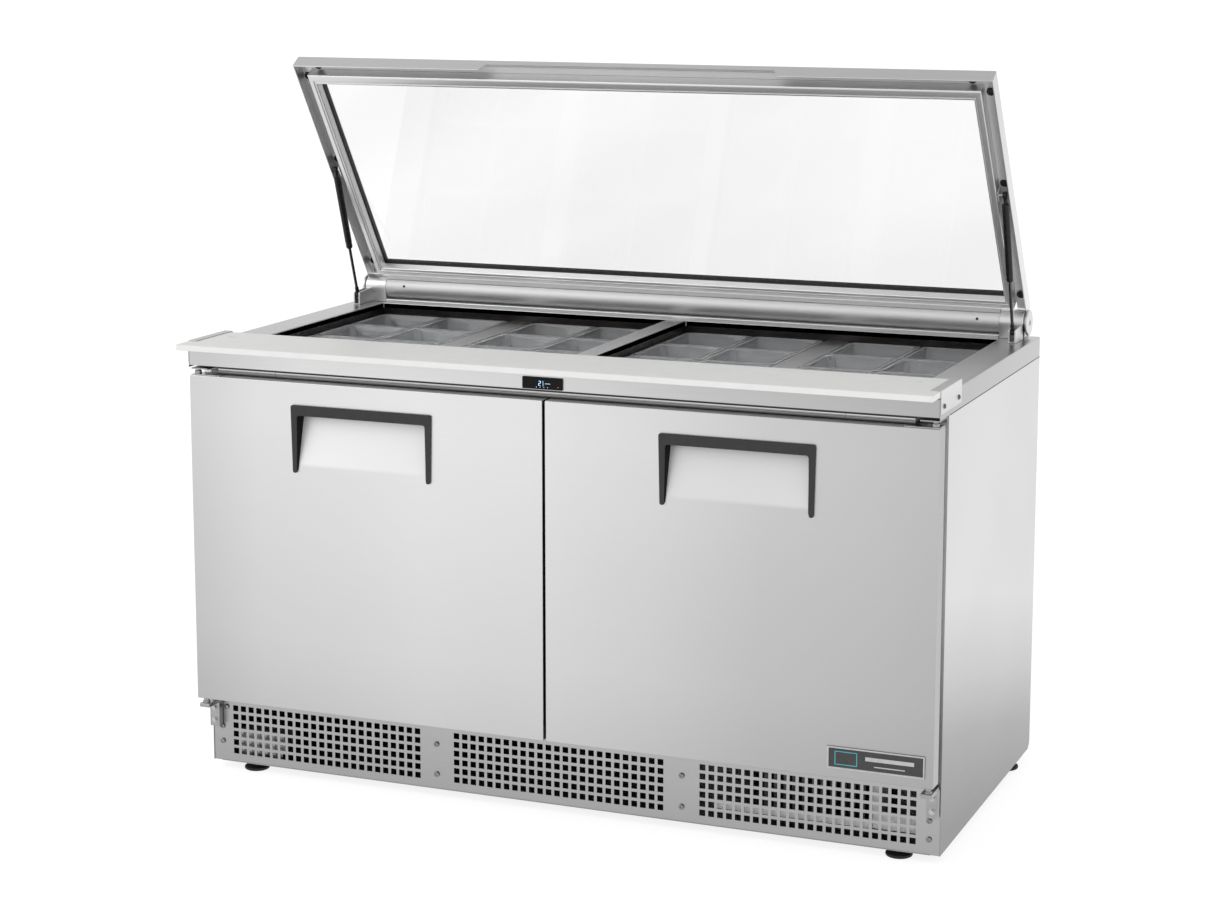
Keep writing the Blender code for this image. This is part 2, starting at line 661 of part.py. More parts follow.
# ---------------------------------------------------------------- doors
def doors():
    """Foamed doors with a wedge-shaped finger pocket behind an inverted U bezel, and a gasket."""
    mid = (HANDLE_IN + HANDLE_OUT) / 2
    for side, sign in (("left", -1), ("right", 1)):
        pivot = Vector((sign * DOOR_AXIS_X, DOOR_AXIS_Y, DOOR_BOTTOM))
        x0, x1 = sorted((sign * DOOR_IN, sign * DOOR_OUT))
        leaf = box((x0, FRONT, DOOR_BOTTOM), (x1, DOOR_BACK, DOOR_TOP))
        wedge = [
            (FRONT - 0.002, HANDLE_BOTTOM + 0.002),
            (FRONT + POCKET_DEPTH, HANDLE_TOP - 0.030),
            (FRONT + POCKET_DEPTH, HANDLE_TOP - 0.004),
            (FRONT - 0.002, HANDLE_TOP - 0.004),
        ]
        p0, p1 = sorted((sign * (HANDLE_IN + 0.010), sign * (HANDLE_OUT - 0.010)))
        pocket = prism(wedge, lambda y, z: (p0, y, z), Vector((p1 - p0, 0, 0)))
        solid(f"door_{side}", leaf, "stainless", cut=[pocket], pivot=pivot)

        half = (HANDLE_OUT - HANDLE_IN) / 2
        outline = [
            (-half + 0.0035, HANDLE_BOTTOM),
            (-half, HANDLE_TOP - 0.004),
            (-half + 0.004, HANDLE_TOP),
            (half - 0.004, HANDLE_TOP),
            (half, HANDLE_TOP - 0.004),
            (half - 0.0035, HANDLE_BOTTOM),
            (half - 0.0035 - HANDLE_LEG_LOW, HANDLE_BOTTOM),
            (half - HANDLE_LEG_TOP, HANDLE_TOP - HANDLE_BAR),
            (-half + HANDLE_LEG_TOP, HANDLE_TOP - HANDLE_BAR),
            (-half + 0.0035 + HANDLE_LEG_LOW, HANDLE_BOTTOM),
        ]
        y = FRONT - HANDLE_PROUD
        depth = Vector((0, HANDLE_PROUD - GAP, 0))
        bezel = prism(outline, lambda u, z: (sign * mid + u, y, z), depth)
        solid(f"handle_bezel_{side}", bezel, "dark_plastic", pivot=pivot)

        g0, g1 = sorted((sign * GASKET_IN, sign * GASKET_OUT))
        seal = ring_frame(
            (g0, GASKET_LOW, g1, GASKET_HIGH),
            (g0 + GASKET_BAND, GASKET_LOW + GASKET_BAND, g1 - GASKET_BAND, GASKET_HIGH - GASKET_BAND),
            DOOR_BACK + GAP,
            FACE - 0.0004,
            lambda x, z, y: (x, y, z),
        )
        solid(f"door_gasket_{side}", seal, "black_rubber", pivot=pivot)
    right = Vector((DOOR_AXIS_X, DOOR_AXIS_Y, DOOR_BOTTOM))
    badge = box((0.600, FRONT - 0.0028, 0.1925), (0.797, FRONT - GAP, 0.2375))
    solid("badge_plate", badge, "black_gloss", pivot=right)


def door_hinges():
    """Pin brackets under and over each door's outer end."""
    pin_radius = 0.0055
    for side, sign in (("left", -1), ("right", 1)):
        x0, x1 = sorted((sign * 0.786, sign * 0.8125))
        leaf = box((x0, GRILLE_FRONT - 0.0130, 0.098), (x1, GRILLE_FRONT - GAP, 0.156))
        x0, x1 = sorted((sign * 0.784, sign * 0.811))
        tongue = box((x0, -0.3780, 0.1505), (x1, GRILLE_FRONT - GAP, 0.1605))
        pin_top = DOOR_BOTTOM - GAP
        pin = cylinder(
            Vector((sign * DOOR_AXIS_X, DOOR_AXIS_Y, (0.156 + pin_top) / 2)),
            pin_radius,
            pin_top - 0.156,
            sides=16,
        )
        solid(f"hinge_bottom_{side}", leaf, "stainless", add=[tongue, pin])
        x0, x1 = sorted((sign * 0.770, sign * 0.809))
        plate = box((x0, -0.3780, 0.8860), (x1, GRILLE_FRONT - GAP, 0.8940))
        heel = box((x0, GRILLE_FRONT - 0.0100, 0.8800), (x1, GRILLE_FRONT - GAP, 0.8900))
        pin_low = DOOR_TOP + GAP
        pin = cylinder(
            Vector((sign * DOOR_AXIS_X, DOOR_AXIS_Y, (0.890 + pin_low) / 2)),
            pin_radius,
            0.890 - pin_low,
            sides=16,
        )
        solid(f"hinge_top_{side}", plate, "stainless", add=[heel, pin])


# ---------------------------------------------------------------- lid
def hinge_boxes():
    """End housings with a barrel, a slotted arm for the gas spring, and a pin for the lid."""
    low = DECK + GAP
    for side, sign in (("left", -1), ("right", 1)):
        x0, x1 = sorted((sign * BOX_IN, sign * BOX_OUT))
        barrel = cylinder(
            Vector(((x0 + x1) / 2, HINGE_Y, HINGE_Z)), BARREL, x1 - x0, AXIS_X, sides=40
        )
        block = box((x0, HINGE_Y - 0.022, low), (x1, HINGE_Y + 0.026, HINGE_Z))
        a0, a1 = sorted((sign * ARM_IN, sign * BOX_OUT))
        arm = box((a0, ARM_FRONT, low), (a1, HINGE_Y - 0.010, ARM_TOP))
        slot_x = sign * STRUT_X
        slot = box(
            (slot_x - SLOT_HALF, ARM_FRONT - 0.01, DECK + 0.010),
            (slot_x + SLOT_HALF, HINGE_Y - 0.034, ARM_TOP + 0.02),
        )
        cross_pin = cylinder(
            Vector((slot_x, STRUT_LOW.y, STRUT_LOW.z)), STUD, 2 * SLOT_HALF + 0.003, AXIS_X, sides=12
        )
        pin_length = CAP_IN - GAP - BOX_OUT + 0.004
        pin_x = sign * (CAP_IN - GAP - pin_length / 2)
        pin = cylinder(Vector((pin_x, HINGE_Y, HINGE_Z)), PIVOT_PIN, pin_length, AXIS_X, sides=20)
        body = solid(
            f"hinge_box_{side}", barrel, "stainless", add=[block, arm, pin], cut=[slot], round_piece=True
        )
        tool = place_object(f"hinge_box_{side}_cross_pin", cross_pin)
        tool.hide_render = True
        tool.display_type = "WIRE"
        step = body.modifiers.new("cross_pin", "BOOLEAN")
        step.operation = "UNION"
        step.solver = "EXACT"
        step.object = tool
        cap_x = sign * (CAP_IN + CAP_OUT) / 2
        cap = cylinder(
            Vector((cap_x, HINGE_Y, HINGE_Z)), BARREL, CAP_OUT - CAP_IN, AXIS_X, sides=40
        )
        solid(f"hinge_cap_{side}", cap, "stainless", round_piece=True)
    sill = box((-BOX_IN + 0.001, 0.380, low), (BOX_IN - 0.001, 0.389, 0.9446))
    solid("rear_sill", sill, "stainless")


def channel_sweep():
    """Outer channel of the lid along its two sides and its front, mitred at the front corners."""
    profile = [
        (0.0, LID_UNDER),
        (FLANGE, LID_UNDER),
        (FLANGE, RECESS_FLOOR),
        (CHANNEL_WIDTH, RECESS_FLOOR),
        (CHANNEL_WIDTH, LID_TOP),
        (0.0, LID_TOP),
    ]
    shape = bmesh.new()
    stations = []
    for x_sign, at_front in ((-1, False), (-1, True), (1, True), (1, False)):
        ring = []
        for inward, height in profile:
            s = LID_LENGTH - inward if at_front else CHANNEL_START
            ring.append(shape.verts.new(lid_point(x_sign * (LID_HALF - inward), s, height)))
        stations.append(ring)
    count = len(profile)
    for first, second in zip(stations, stations[1:]):
        for i in range(count):
            k = (i + 1) % count
            shape.faces.new((first[i], first[k], second[k], second[i]))
    shape.faces.new(stations[0])
    shape.faces.new(stations[-1])
    bmesh.ops.recalc_face_normals(shape, faces=shape.faces)
    return shape


def lid():
    """Glass lid: channel with pivot ears and spring brackets, inner frame, gasket, glass, tube."""
    add, holes = [], []
    for sign in (-1, 1):
        x0, x1 = sorted((sign * (LID_HALF - FLANGE), sign * LID_HALF))
        ear_x = (x0 + x1) / 2
        add.append(cylinder(Vector((ear_x, HINGE_Y, HINGE_Z)), 0.0200, FLANGE, AXIS_X, sides=24))
        holes.append(
            cylinder(Vector((ear_x, HINGE_Y, HINGE_Z)), PIVOT_PIN + 0.0006, 0.01, AXIS_X, sides=20)
        )
        x0, x1 = sorted((sign * 0.7650, sign * 0.7680))
        add.append(
            lid_box(x0, x1, STRUT_S - 0.014, STRUT_S + 0.014, STRUT_H - 0.007, RECESS_FLOOR + 0.001)
        )
        stud_x = sign * (0.7680 + 0.0030)
        add.append(cylinder(lid_point(stud_x, STRUT_S, STRUT_H), 0.0035, 0.0075, AXIS_X, sides=12))
    grip = prism(
        [
            (-GRIP_HALF, LID_UNDER - 0.005),
            (GRIP_HALF, LID_UNDER - 0.005),
            (GRIP_HALF - 0.018, LID_UNDER + GRIP_HEIGHT),
            (-GRIP_HALF + 0.018, LID_UNDER + GRIP_HEIGHT),
        ],
        lambda x, h: lid_point(x, LID_LENGTH + 0.004, h),
        lid_point(0, 0, 0) - lid_point(0, FLANGE + 0.006, 0),
    )
    lid_piece("lid_channel", channel_sweep(), "aluminium", add=add, cut=[joined(holes), grip])

    outer = LID_HALF - CHANNEL_WIDTH - GAP
    front = LID_LENGTH - CHANNEL_WIDTH - GAP
    frame = ring_frame(
        (-outer, INNER_REAR, outer, front),
        (-GLASS_HALF, GLASS_REAR, GLASS_HALF, GLASS_FRONT),
        LID_UNDER,
        LID_TOP,
        lid_point,
    )
    lid_piece("lid_inner_frame", frame, "aluminium")

    seal = ring_frame(
        (-GLASS_HALF + GAP, GLASS_REAR + GAP, GLASS_HALF - GAP, GLASS_FRONT - GAP),
        (
            -GLASS_HALF + GASKET_WIDTH,
            GLASS_REAR + GASKET_WIDTH,
            GLASS_HALF - GASKET_WIDTH,
            GLASS_FRONT - GASKET_WIDTH,
        ),
        0.0235,
        0.0395,
        lid_point,
    )
    lid_piece("lid_gasket", seal, "black_rubber")

    edge = GASKET_WIDTH + GAP
    pane = lid_box(
        -GLASS_HALF + edge, GLASS_HALF - edge, GLASS_REAR + edge, GLASS_FRONT - edge, 0.0260, 0.0320
    )
    lid_piece("lid_glass", pane, "clear_glass")

    length = 2 * (BOX_IN - GAP)
    tube = cylinder(LID_PIVOT, BARREL, length, AXIS_X, sides=40)
    bore = cylinder(LID_PIVOT, BARREL - 0.0025, length + 0.02, AXIS_X, sides=40)
    lid_piece("lid_tube", tube, "aluminium", cut=[bore], round_piece=True)


def gas_springs():
    """Rod on the arm's pivot, and a cylinder that slides on it up to the lid's stud."""
    top = lid_point(0, STRUT_S, STRUT_H)
    line = top - STRUT_LOW
    span = line.length
    along = line.normalized()
    turn = Vector((0, 0, 1)).rotation_difference(along).to_matrix().to_4x4()
    mouth = span - CYLINDER_LENGTH
    for side, sign in (("left", -1), ("right", 1)):
        offset = Vector((sign * STRUT_X, 0, 0))
        low = STRUT_LOW + offset
        rod_start, rod_end = 0.003, mouth + ROD_ENGAGED
        rod = cylinder(
            low + along * (rod_start + rod_end) / 2, ROD, rod_end - rod_start, turn, sides=16
        )
        eye = cylinder(low, 0.0068, 0.0088, AXIS_X, sides=20)
        hole = cylinder(low, STUD + 0.0005, 0.03, AXIS_X, sides=16)
        solid(
            f"strut_rod_{side}", rod, "black_paint", add=[eye], cut=[hole], pivot=low, round_piece=True
        )

        body_end = span - 0.018
        body = cylinder(
            low + along * (mouth + body_end) / 2, CYLINDER, body_end - mouth, turn, sides=24
        )
        head = cylinder(low + along * span, 0.0075, 0.0080, AXIS_X, sides=20)
        neck = cylinder(low + along * (span - 0.012), 0.0038, 0.020, turn, sides=12)
        bore_length = ROD_ENGAGED + STROKE_ROOM
        bore = cylinder(
            low + along * (mouth + bore_length / 2 - 0.005), ROD + 0.0006, bore_length + 0.01, turn, 16
        )
        solid(
            f"strut_cylinder_{side}",
            body,
            "black_paint",
            add=[neck, head],
            cut=[bore],
            pivot=low + along * span,
            round_piece=True,
        )


def main():
    start()
    side_panels()
    back_panel()
    insulated_cabinet()
    worktop()
    front_fascia()
    pan_wells()
    adapter_bars()
    pan_sets()
    board_and_rails()
    grille()
    feet()
    base_pan()
    machine_compartment()
    evaporator()
    shelves()
    doors()
    door_hinges()
    hinge_boxes()
    lid()
    gas_springs()


main()
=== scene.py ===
"""The looks of the sandwich prep table: detailed pieces and materials over its CAD frame."""

import math

import bmesh
import bpy
from mathutils import Matrix, Vector


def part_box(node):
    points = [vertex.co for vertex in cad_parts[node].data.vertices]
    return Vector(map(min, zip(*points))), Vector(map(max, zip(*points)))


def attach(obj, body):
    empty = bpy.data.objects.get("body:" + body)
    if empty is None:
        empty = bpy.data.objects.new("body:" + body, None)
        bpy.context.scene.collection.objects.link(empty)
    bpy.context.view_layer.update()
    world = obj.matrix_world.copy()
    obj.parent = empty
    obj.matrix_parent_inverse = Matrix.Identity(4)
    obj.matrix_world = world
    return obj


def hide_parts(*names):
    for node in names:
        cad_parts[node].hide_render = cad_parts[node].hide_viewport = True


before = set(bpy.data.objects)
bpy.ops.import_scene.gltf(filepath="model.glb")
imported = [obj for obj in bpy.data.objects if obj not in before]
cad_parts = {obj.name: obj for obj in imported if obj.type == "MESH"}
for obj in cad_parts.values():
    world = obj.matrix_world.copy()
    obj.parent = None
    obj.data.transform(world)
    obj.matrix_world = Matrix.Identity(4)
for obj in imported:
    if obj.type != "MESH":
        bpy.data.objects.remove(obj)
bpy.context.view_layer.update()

scene = bpy.context.scene
SIDES = (("left", -1), ("right", 1))
ALONG_X = Matrix.Rotation(math.pi / 2, 4, "Y")
ALONG_Y = Matrix.Rotation(-math.pi / 2, 4, "X")

# ---------------------------------------------------------------- places worked out from the frame
deck_low, deck_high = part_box("worktop")
tube_low, tube_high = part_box("lid_tube")
DECK = deck_high.z
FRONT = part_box("door_right")[0].y
HINGE = Vector((0.0, (tube_low.y + tube_high.y) / 2, (tube_low.z + tube_high.z) / 2))
BARREL = (tube_high.z - tube_low.z) / 2

# ---------------------------------------------------------------- the lid and its gas springs
LID_OPEN = math.radians(55.9)
LID_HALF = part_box("lid_channel")[1].x
LID_LENGTH = 0.643
LID_UNDER, LID_TOP = 0.0057, 0.0407
SPRING_X = 0.7797
SPRING_FOOT = Vector((0, 0.322, 0.9605))
SPRING_STUD = (0.344, 0.0112)


# ================================================================ shapes
def cube(a, b):
    """A block between two opposite corners, given in any order."""
    low, high = (Vector(corner) for corner in zip(*(sorted(pair) for pair in zip(a, b))))
    shape = bmesh.new()
    bmesh.ops.create_cube(shape, size=1.0)
    stretch = Matrix.Translation((low + high) / 2) @ Matrix.Diagonal((*(high - low), 1.0))
    return moved(shape, stretch)


def eased(shape, radius, steps=2, sharper=0.5):
    """Rounds the sharp edges of a shape."""
    edges = [e for e in shape.edges if e.is_manifold and e.calc_face_angle(0) > sharper]
    bmesh.ops.bevel(
        shape, geom=edges, offset=radius, segments=steps, profile=0.5, affect="EDGES", clamp_overlap=True
    )
    return shape


def slab(a, b, radius=0.001, steps=2):
    """A block with rounded edges."""
    return eased(cube(a, b), radius, steps)


def curved(corners, steps=5):
    """An outline whose corners (x, y, radius) are turned into arcs."""
    outline = []
    for i, (x, y, radius) in enumerate(corners):
        here = Vector((x, y))
        if radius <= 0:
            outline.append(here)
            continue
        before = (Vector(corners[i - 1][:2]) - here).normalized()
        after = (Vector(corners[(i + 1) % len(corners)][:2]) - here).normalized()
        half = before.angle(after) / 2
        reach = radius / math.tan(half)
        middle = here + (before + after).normalized() * radius / math.sin(half)
        first = here + before * reach - middle
        last = here + after * reach - middle
        swing = first.angle_signed(last)
        for k in range(steps + 1):
            turned = first.copy()
            turned.rotate(Matrix.Rotation(-swing * k / steps, 2))
            outline.append(middle + turned)
    return outline


def pulled(shape, grown, way):
    """Moves the points that an extrusion has just made."""
    fresh = [v for v in grown["geom"] if isinstance(v, bmesh.types.BMVert)]
    bmesh.ops.translate(shape, verts=fresh, vec=way)


def extruded(outline, place, depth, radius=0.0):
    """A flat outline, placed in space and pushed out along a vector."""
    shape = bmesh.new()
    face = shape.faces.new([shape.verts.new(place(*point)) for point in outline])
    pulled(shape, bmesh.ops.extrude_face_region(shape, geom=[face]), depth)
    bmesh.ops.recalc_face_normals(shape, faces=shape.faces)
    return eased(shape, radius, 2, 1.2) if radius else shape


def along_x(outline, x, length, radius=0.0):
    """An outline of (y, z) points, pushed out along X."""
    return extruded(outline, lambda y, z: (x, y, z), Vector((length, 0, 0)), radius)


def along_y(outline, y, length, radius=0.0):
    """An outline of (x, z) points, pushed out along Y."""
    return extruded(outline, lambda x, z: (x, y, z), Vector((0, length, 0)), radius)


def turns(steps, count=0):
    """The cosine and sine at even steps of a full turn."""
    angles = [2 * math.pi * k / steps for k in range(count or steps)]
    return [(math.cos(a), math.sin(a)) for a in angles]


def lathed(profile, steps=32):
    """A closed body turned about Z from (radius, height) points."""
    shape = bmesh.new()
    rings = []
    for radius, height in profile:
        around = [(0, 0)] if radius < 1e-7 else turns(steps)
        rings.append([shape.verts.new((radius * c, radius * s, height)) for c, s in around])
    for low, high in zip(rings, rings[1:]):
        for k in range(steps):
            j = (k + 1) % steps
            if len(low) == 1 and len(high) == 1:
                continue
            if len(low) == 1:
                shape.faces.new((low[0], high[k], high[j]))
            elif len(high) == 1:
                shape.faces.new((low[j], low[k], high[0]))
            else:
                shape.faces.new((low[k], high[k], high[j], low[j]))
    bmesh.ops.recalc_face_normals(shape, faces=shape.faces)
    return shape


def rod(start, end, radius, sides=12):
    """A straight round bar between two points."""
    start, end = Vector(start), Vector(end)
    shape = bmesh.new()
    bmesh.ops.create_cone(
        shape, cap_ends=True, segments=sides, radius1=radius, radius2=radius, depth=(end - start).length
    )
    return moved(shape, facing((start + end) / 2, end - start))


def bridged(shape, first, second):
    """Faces between two closed rings of points."""
    for k in range(len(first)):
        j = (k + 1) % len(first)
        shape.faces.new((first[k], first[j], second[j], second[k]))


def swept(shape, rings, close=False):
    """Joins rings of points into a bar, closed on itself or capped at its ends."""
    for first, second in zip(rings, rings[1:]):
        bridged(shape, first, second)
    if close:
        bridged(shape, rings[-1], rings[0])
    else:
        shape.faces.new(rings[0])
        shape.faces.new(rings[-1])
    bmesh.ops.recalc_face_normals(shape, faces=shape.faces)
    return shape


def pipe(points, radius, sides=10):
    """A round bar that follows a line of points."""
    points = [Vector(p) for p in points]
    shape = bmesh.new()
    rings = []
    side = None
    for i, point in enumerate(points):
        along = (points[min(i + 1, len(points) - 1)] - points[max(i - 1, 0)]).normalized()
        side = along.orthogonal() if side is None else side - along * side.dot(along)
        side.normalize()
        other = along.cross(side)
        rings.append([shape.verts.new(point + (side * c + other * s) * radius) for c, s in turns(sides)])
    return swept(shape, rings)


def moved(shape, matrix):
    bmesh.ops.transform(shape, matrix=matrix, verts=shape.verts)
    return shape


def shifted(shape, x, y, z):
    return moved(shape, Matrix.Translation((x, y, z)))


def facing(point, direction, spin=0.0):
    """Stands something made along +Z on a point, so that it looks along a direction."""
    turn = Vector((0, 0, 1)).rotation_difference(Vector(direction)).to_matrix().to_4x4()
    return Matrix.Translation(point) @ turn @ Matrix.Rotation(spin, 4, "Z")


def meshed(shape, name="part"):
    """The mesh of a shape, which is used up."""
    mesh = bpy.data.meshes.new(name)
    shape.to_mesh(mesh)
    shape.free()
    return mesh


def added(name, data):
    thing = bpy.data.objects.new(name, data)
    scene.collection.objects.link(thing)
    return thing


def together(shapes):
    """Several shapes as one."""
    whole = bmesh.new()
    for shape in shapes:
        part = meshed(shape)
        whole.from_mesh(part)
        bpy.data.meshes.remove(part)
    return whole


def repeated(shape, places):
    """Copies of one shape at each of several matrices."""
    part = meshed(shape)
    whole = bmesh.new()
    for matrix in places:
        copy = part.copy()
        copy.transform(matrix)
        whole.from_mesh(copy)
        bpy.data.meshes.remove(copy)
    bpy.data.meshes.remove(part)
    return whole


def cut(shape, tools):
    """A shape with other shapes cut out of it."""
    kept, tool = (added("cut", meshed(each)) for each in (shape, together(tools)))
    step = kept.modifiers.new("cut", "BOOLEAN")
    step.operation = "DIFFERENCE"
    step.solver = "EXACT"
    step.object = tool
    result = bmesh.new()
    result.from_object(kept, bpy.context.evaluated_depsgraph_get())
    for thing in (kept, tool):
        bpy.data.objects.remove(thing, do_unlink=True)
    return result


def perforated(across, up, open_at, place, thickness):
    """A sheet on a grid of lines, left open where open_at(column, row) is true, with its thickness."""
    shape = bmesh.new()
    verts = [[shape.verts.new(place(x, z)) for z in up] for x in across]
    for i in range(len(across) - 1):
        for j in range(len(up) - 1):
            if not open_at(i, j):
                shape.faces.new((verts[i][j], verts[i + 1][j], verts[i + 1][j + 1], verts[i][j + 1]))
    bmesh.ops.delete(shape, geom=[v for v in shape.verts if not v.link_faces], context="VERTS")
    bmesh.ops.recalc_face_normals(shape, faces=shape.faces)
    bmesh.ops.solidify(shape, geom=shape.faces, thickness=thickness)
    return shape


def surfaced(shape, name, look, smooth):
    """A mesh with its material, shaded smooth up to an angle in degrees."""
    mesh = meshed(shape, name)
    mesh.materials.append(look)
    mesh.shade_smooth()
    mesh.set_sharp_from_angle(angle=math.radians(smooth))
    return mesh


def piece(name, shape, look, body, replaces=(), smooth=40):
    """Makes a piece of the object from a shape, with a material, riding on a body."""
    thing = added(name, surfaced(shape, name, look, smooth))
    thing.modifiers.new("even_shading", "WEIGHTED_NORMAL").keep_sharp = True
    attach(thing, body)
    if replaces:
        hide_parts(*replaces)
    return thing


def lid_point(x, s, h):
    """A point of the open lid: s from the hinge axis to its front, h above its glass when it is closed."""
    cos, sin = math.cos(LID_OPEN), math.sin(LID_OPEN)
    return Vector((x, HINGE.y - cos * s + sin * h, HINGE.z + sin * s + cos * h))


LID_FRAME = Matrix.Translation(HINGE) @ Matrix.Rotation(-LID_OPEN, 4, "X")


def mitred(profile, stations, close):
    """A profile of (inward, height) points swept through corner stations, each a function of them."""
    shape = bmesh.new()
    rings = [[shape.verts.new(station(w, h)) for w, h in profile] for station in stations]
    return swept(shape, rings, close)


def framed(profile, corners, place):
    """A profile swept round a frame, whose corners are (across, up, inward across, inward up)."""
    stations = [
        lambda w, h, x=x, z=z, dx=dx, dz=dz: place(x + dx * w, z + dz * w, h) for x, z, dx, dz in corners
    ]
    return mitred(profile, stations, True)


def box_corners(low_x, low_z, high_x, high_z, inward=1):
    """The corners of a frame that stands between two heights."""
    return (
        (low_x, low_z, inward, inward),
        (high_x, low_z, -inward, inward),
        (high_x, high_z, -inward, -inward),
        (low_x, high_z, inward, -inward),
    )


def rounded_box(low, high, radius):
    """The outline of a box seen from the front, with round corners."""
    return curved([(x, z, radius) for x, z, _, _ in box_corners(low.x, low.z, high.x, high.z)])


def inner_outer(low, high, sign):
    """The inner and outer X of a box on one side of the object."""
    return (low.x, high.x) if sign > 0 else (high.x, low.x)


# ================================================================ materials
def set_stops(ramp, stops):
    """Gives a colour ramp its (place, colour) stops."""
    elements = ramp.color_ramp.elements
    while len(elements) < len(stops):
        elements.new(0.5)
    for element, (at, colour) in zip(elements, stops):
        element.position = at
        element.color = (*colour, 1.0)


def grey(value, warm=0.0):
    return (value * (1 + warm), value, value * (1 - warm))


class Look:
    """A Principled material built from noise, ramps and bumps in the object's own coordinates."""

    def __init__(self, name, slot, metallic=0.0, **values):
        self.material = bpy.data.materials.new(name)
        self.material.use_nodes = True
        self.material["slot"] = slot
        self.tree = self.material.node_tree
        self.shader = self.tree.nodes["Principled BSDF"]
        self.shader.inputs["Metallic"].default_value = metallic
        for socket, value in values.items():
            self.shader.inputs[socket.replace("_", " ")].default_value = value
        self.place = self.tree.nodes.new("ShaderNodeTexCoord").outputs["Object"]

    def node(self, kind, **settings):
        made = self.tree.nodes.new("ShaderNode" + kind)
        for setting, value in settings.items():
            setattr(made, setting, value)
        return made

    def link(self, start, end):
        self.tree.links.new(start, end)

    def stretched(self, scale):
        mapping = self.node("Mapping")
        mapping.inputs["Scale"].default_value = scale
        self.link(self.place, mapping.inputs["Vector"])
        return mapping.outputs["Vector"]

    def noise(self, scale, detail=4.0, rough=0.55):
        """Noise at a scale along each axis, or at one scale along all three."""
        made = self.node("TexNoise")
        made.inputs["Scale"].default_value = 1.0
        made.inputs["Detail"].default_value = detail
        made.inputs["Roughness"].default_value = rough
        scale = scale if isinstance(scale, tuple) else (scale, scale, scale)
        self.link(self.stretched(scale), made.inputs["Vector"])
        return made.outputs["Fac"]

    def parts(self, value):
        """The outputs X, Y and Z of a vector or colour."""
        made = self.node("SeparateXYZ")
        self.link(value, made.inputs[0])
        return made.outputs

    def axis(self, letter, low, high):
        """0 to 1 as the object's coordinate runs from low to high."""
        return self.ranged(self.parts(self.place)[letter], low, high, 0.0, 1.0)

    def ranged(self, value, low, high, to_low, to_high):
        made = self.node("MapRange")
        made.clamp = True
        for socket, number in zip(("From Min", "From Max", "To Min", "To Max"), (low, high, to_low, to_high)):
            made.inputs[socket].default_value = number
        self.link(value, made.inputs["Value"])
        return made.outputs["Result"]

    def colours(self, value, *stops):
        ramp = self.node("ValToRGB")
        set_stops(ramp, stops)
        self.link(value, ramp.inputs["Fac"])
        return ramp.outputs["Color"]

    def greys(self, value, *stops):
        return self.colours(value, *((at, grey(shade)) for at, shade in stops))

    def mixed(self, factor, first, second, blend="MIX"):
        made = self.node("Mix", data_type="RGBA", blend_type=blend)
        sockets = [socket for socket in made.inputs if socket.enabled]
        if isinstance(factor, float):
            sockets[0].default_value = factor
        else:
            self.link(factor, sockets[0])
        self.link(first, sockets[1])
        self.link(second, sockets[2])
        return next(socket for socket in made.outputs if socket.enabled)

    def dulled(self, tone, value, low):
        """A tone, darkened to a share of itself where a noise is low."""
        return self.mixed(1.0, tone, self.greys(value, (0.30, low), (0.70, 1.0)), "MULTIPLY")

    def base(self, colour):
        self.link(colour, self.shader.inputs["Base Color"])

    def metallic(self, value, low, high):
        self.link(self.ranged(value, 0.0, 1.0, low, high), self.shader.inputs["Metallic"])

    def finished(self, rough_by, rough, bump_by, strength, distance=0.0005):
        """Sets the roughness and bump, and gives the material."""
        self.link(self.ranged(rough_by, 0.3, 0.7, *rough), self.shader.inputs["Roughness"])
        if strength:
            made = self.node("Bump")
            made.inputs["Strength"].default_value = strength
            made.inputs["Distance"].default_value = distance
            self.link(bump_by, made.inputs["Height"])
            self.link(made.outputs["Normal"], self.shader.inputs["Normal"])
        return self.material


def brushed(name, slot, grain, top, bottom, span, rough=(0.30, 0.40), letter="Z", strength=0.05, depth=0.07):
    """Brushed metal with fine lines along one axis and a painted shade that changes slowly between two
    heights.
    """
    look = Look(name, slot, metallic=1.0)
    lines = look.noise(grain, 5.0, 0.65)
    clouds = look.noise(1.7, 2.0)
    # painted shade: from the bottom shade to the top shade along one axis, with a little random tone mixed in
    fall = look.axis(letter, *span)
    even = look.greys(fall, (0.0, bottom), (1.0, top))
    slow = look.mixed(0.20, even, look.greys(clouds, (0.3, bottom), (0.7, top)))
    look.base(look.dulled(slow, lines, 1.0 - depth))
    return look.finished(lines, rough, lines, strength, 0.0002)


def plain(name, slot, dark, light, rough, scale, strength=0.1, metallic=0.0, shine=0.5):
    """A moulded, painted or rubber surface: a fine grain in its colour, gloss and height."""
    look = Look(name, slot, metallic, Specular_IOR_Level=shine)
    dark, light = (tone if isinstance(tone, tuple) else grey(tone) for tone in (dark, light))
    grain = look.noise(scale, 4.0)
    wear = look.noise(scale / 14, 3.0)
    fine, worn = (look.colours(value, (0.3, dark), (0.7, light)) for value in (grain, wear))
    look.base(look.mixed(0.5, fine, worn))
    return look.finished(grain, rough, grain, strength, 0.0003)


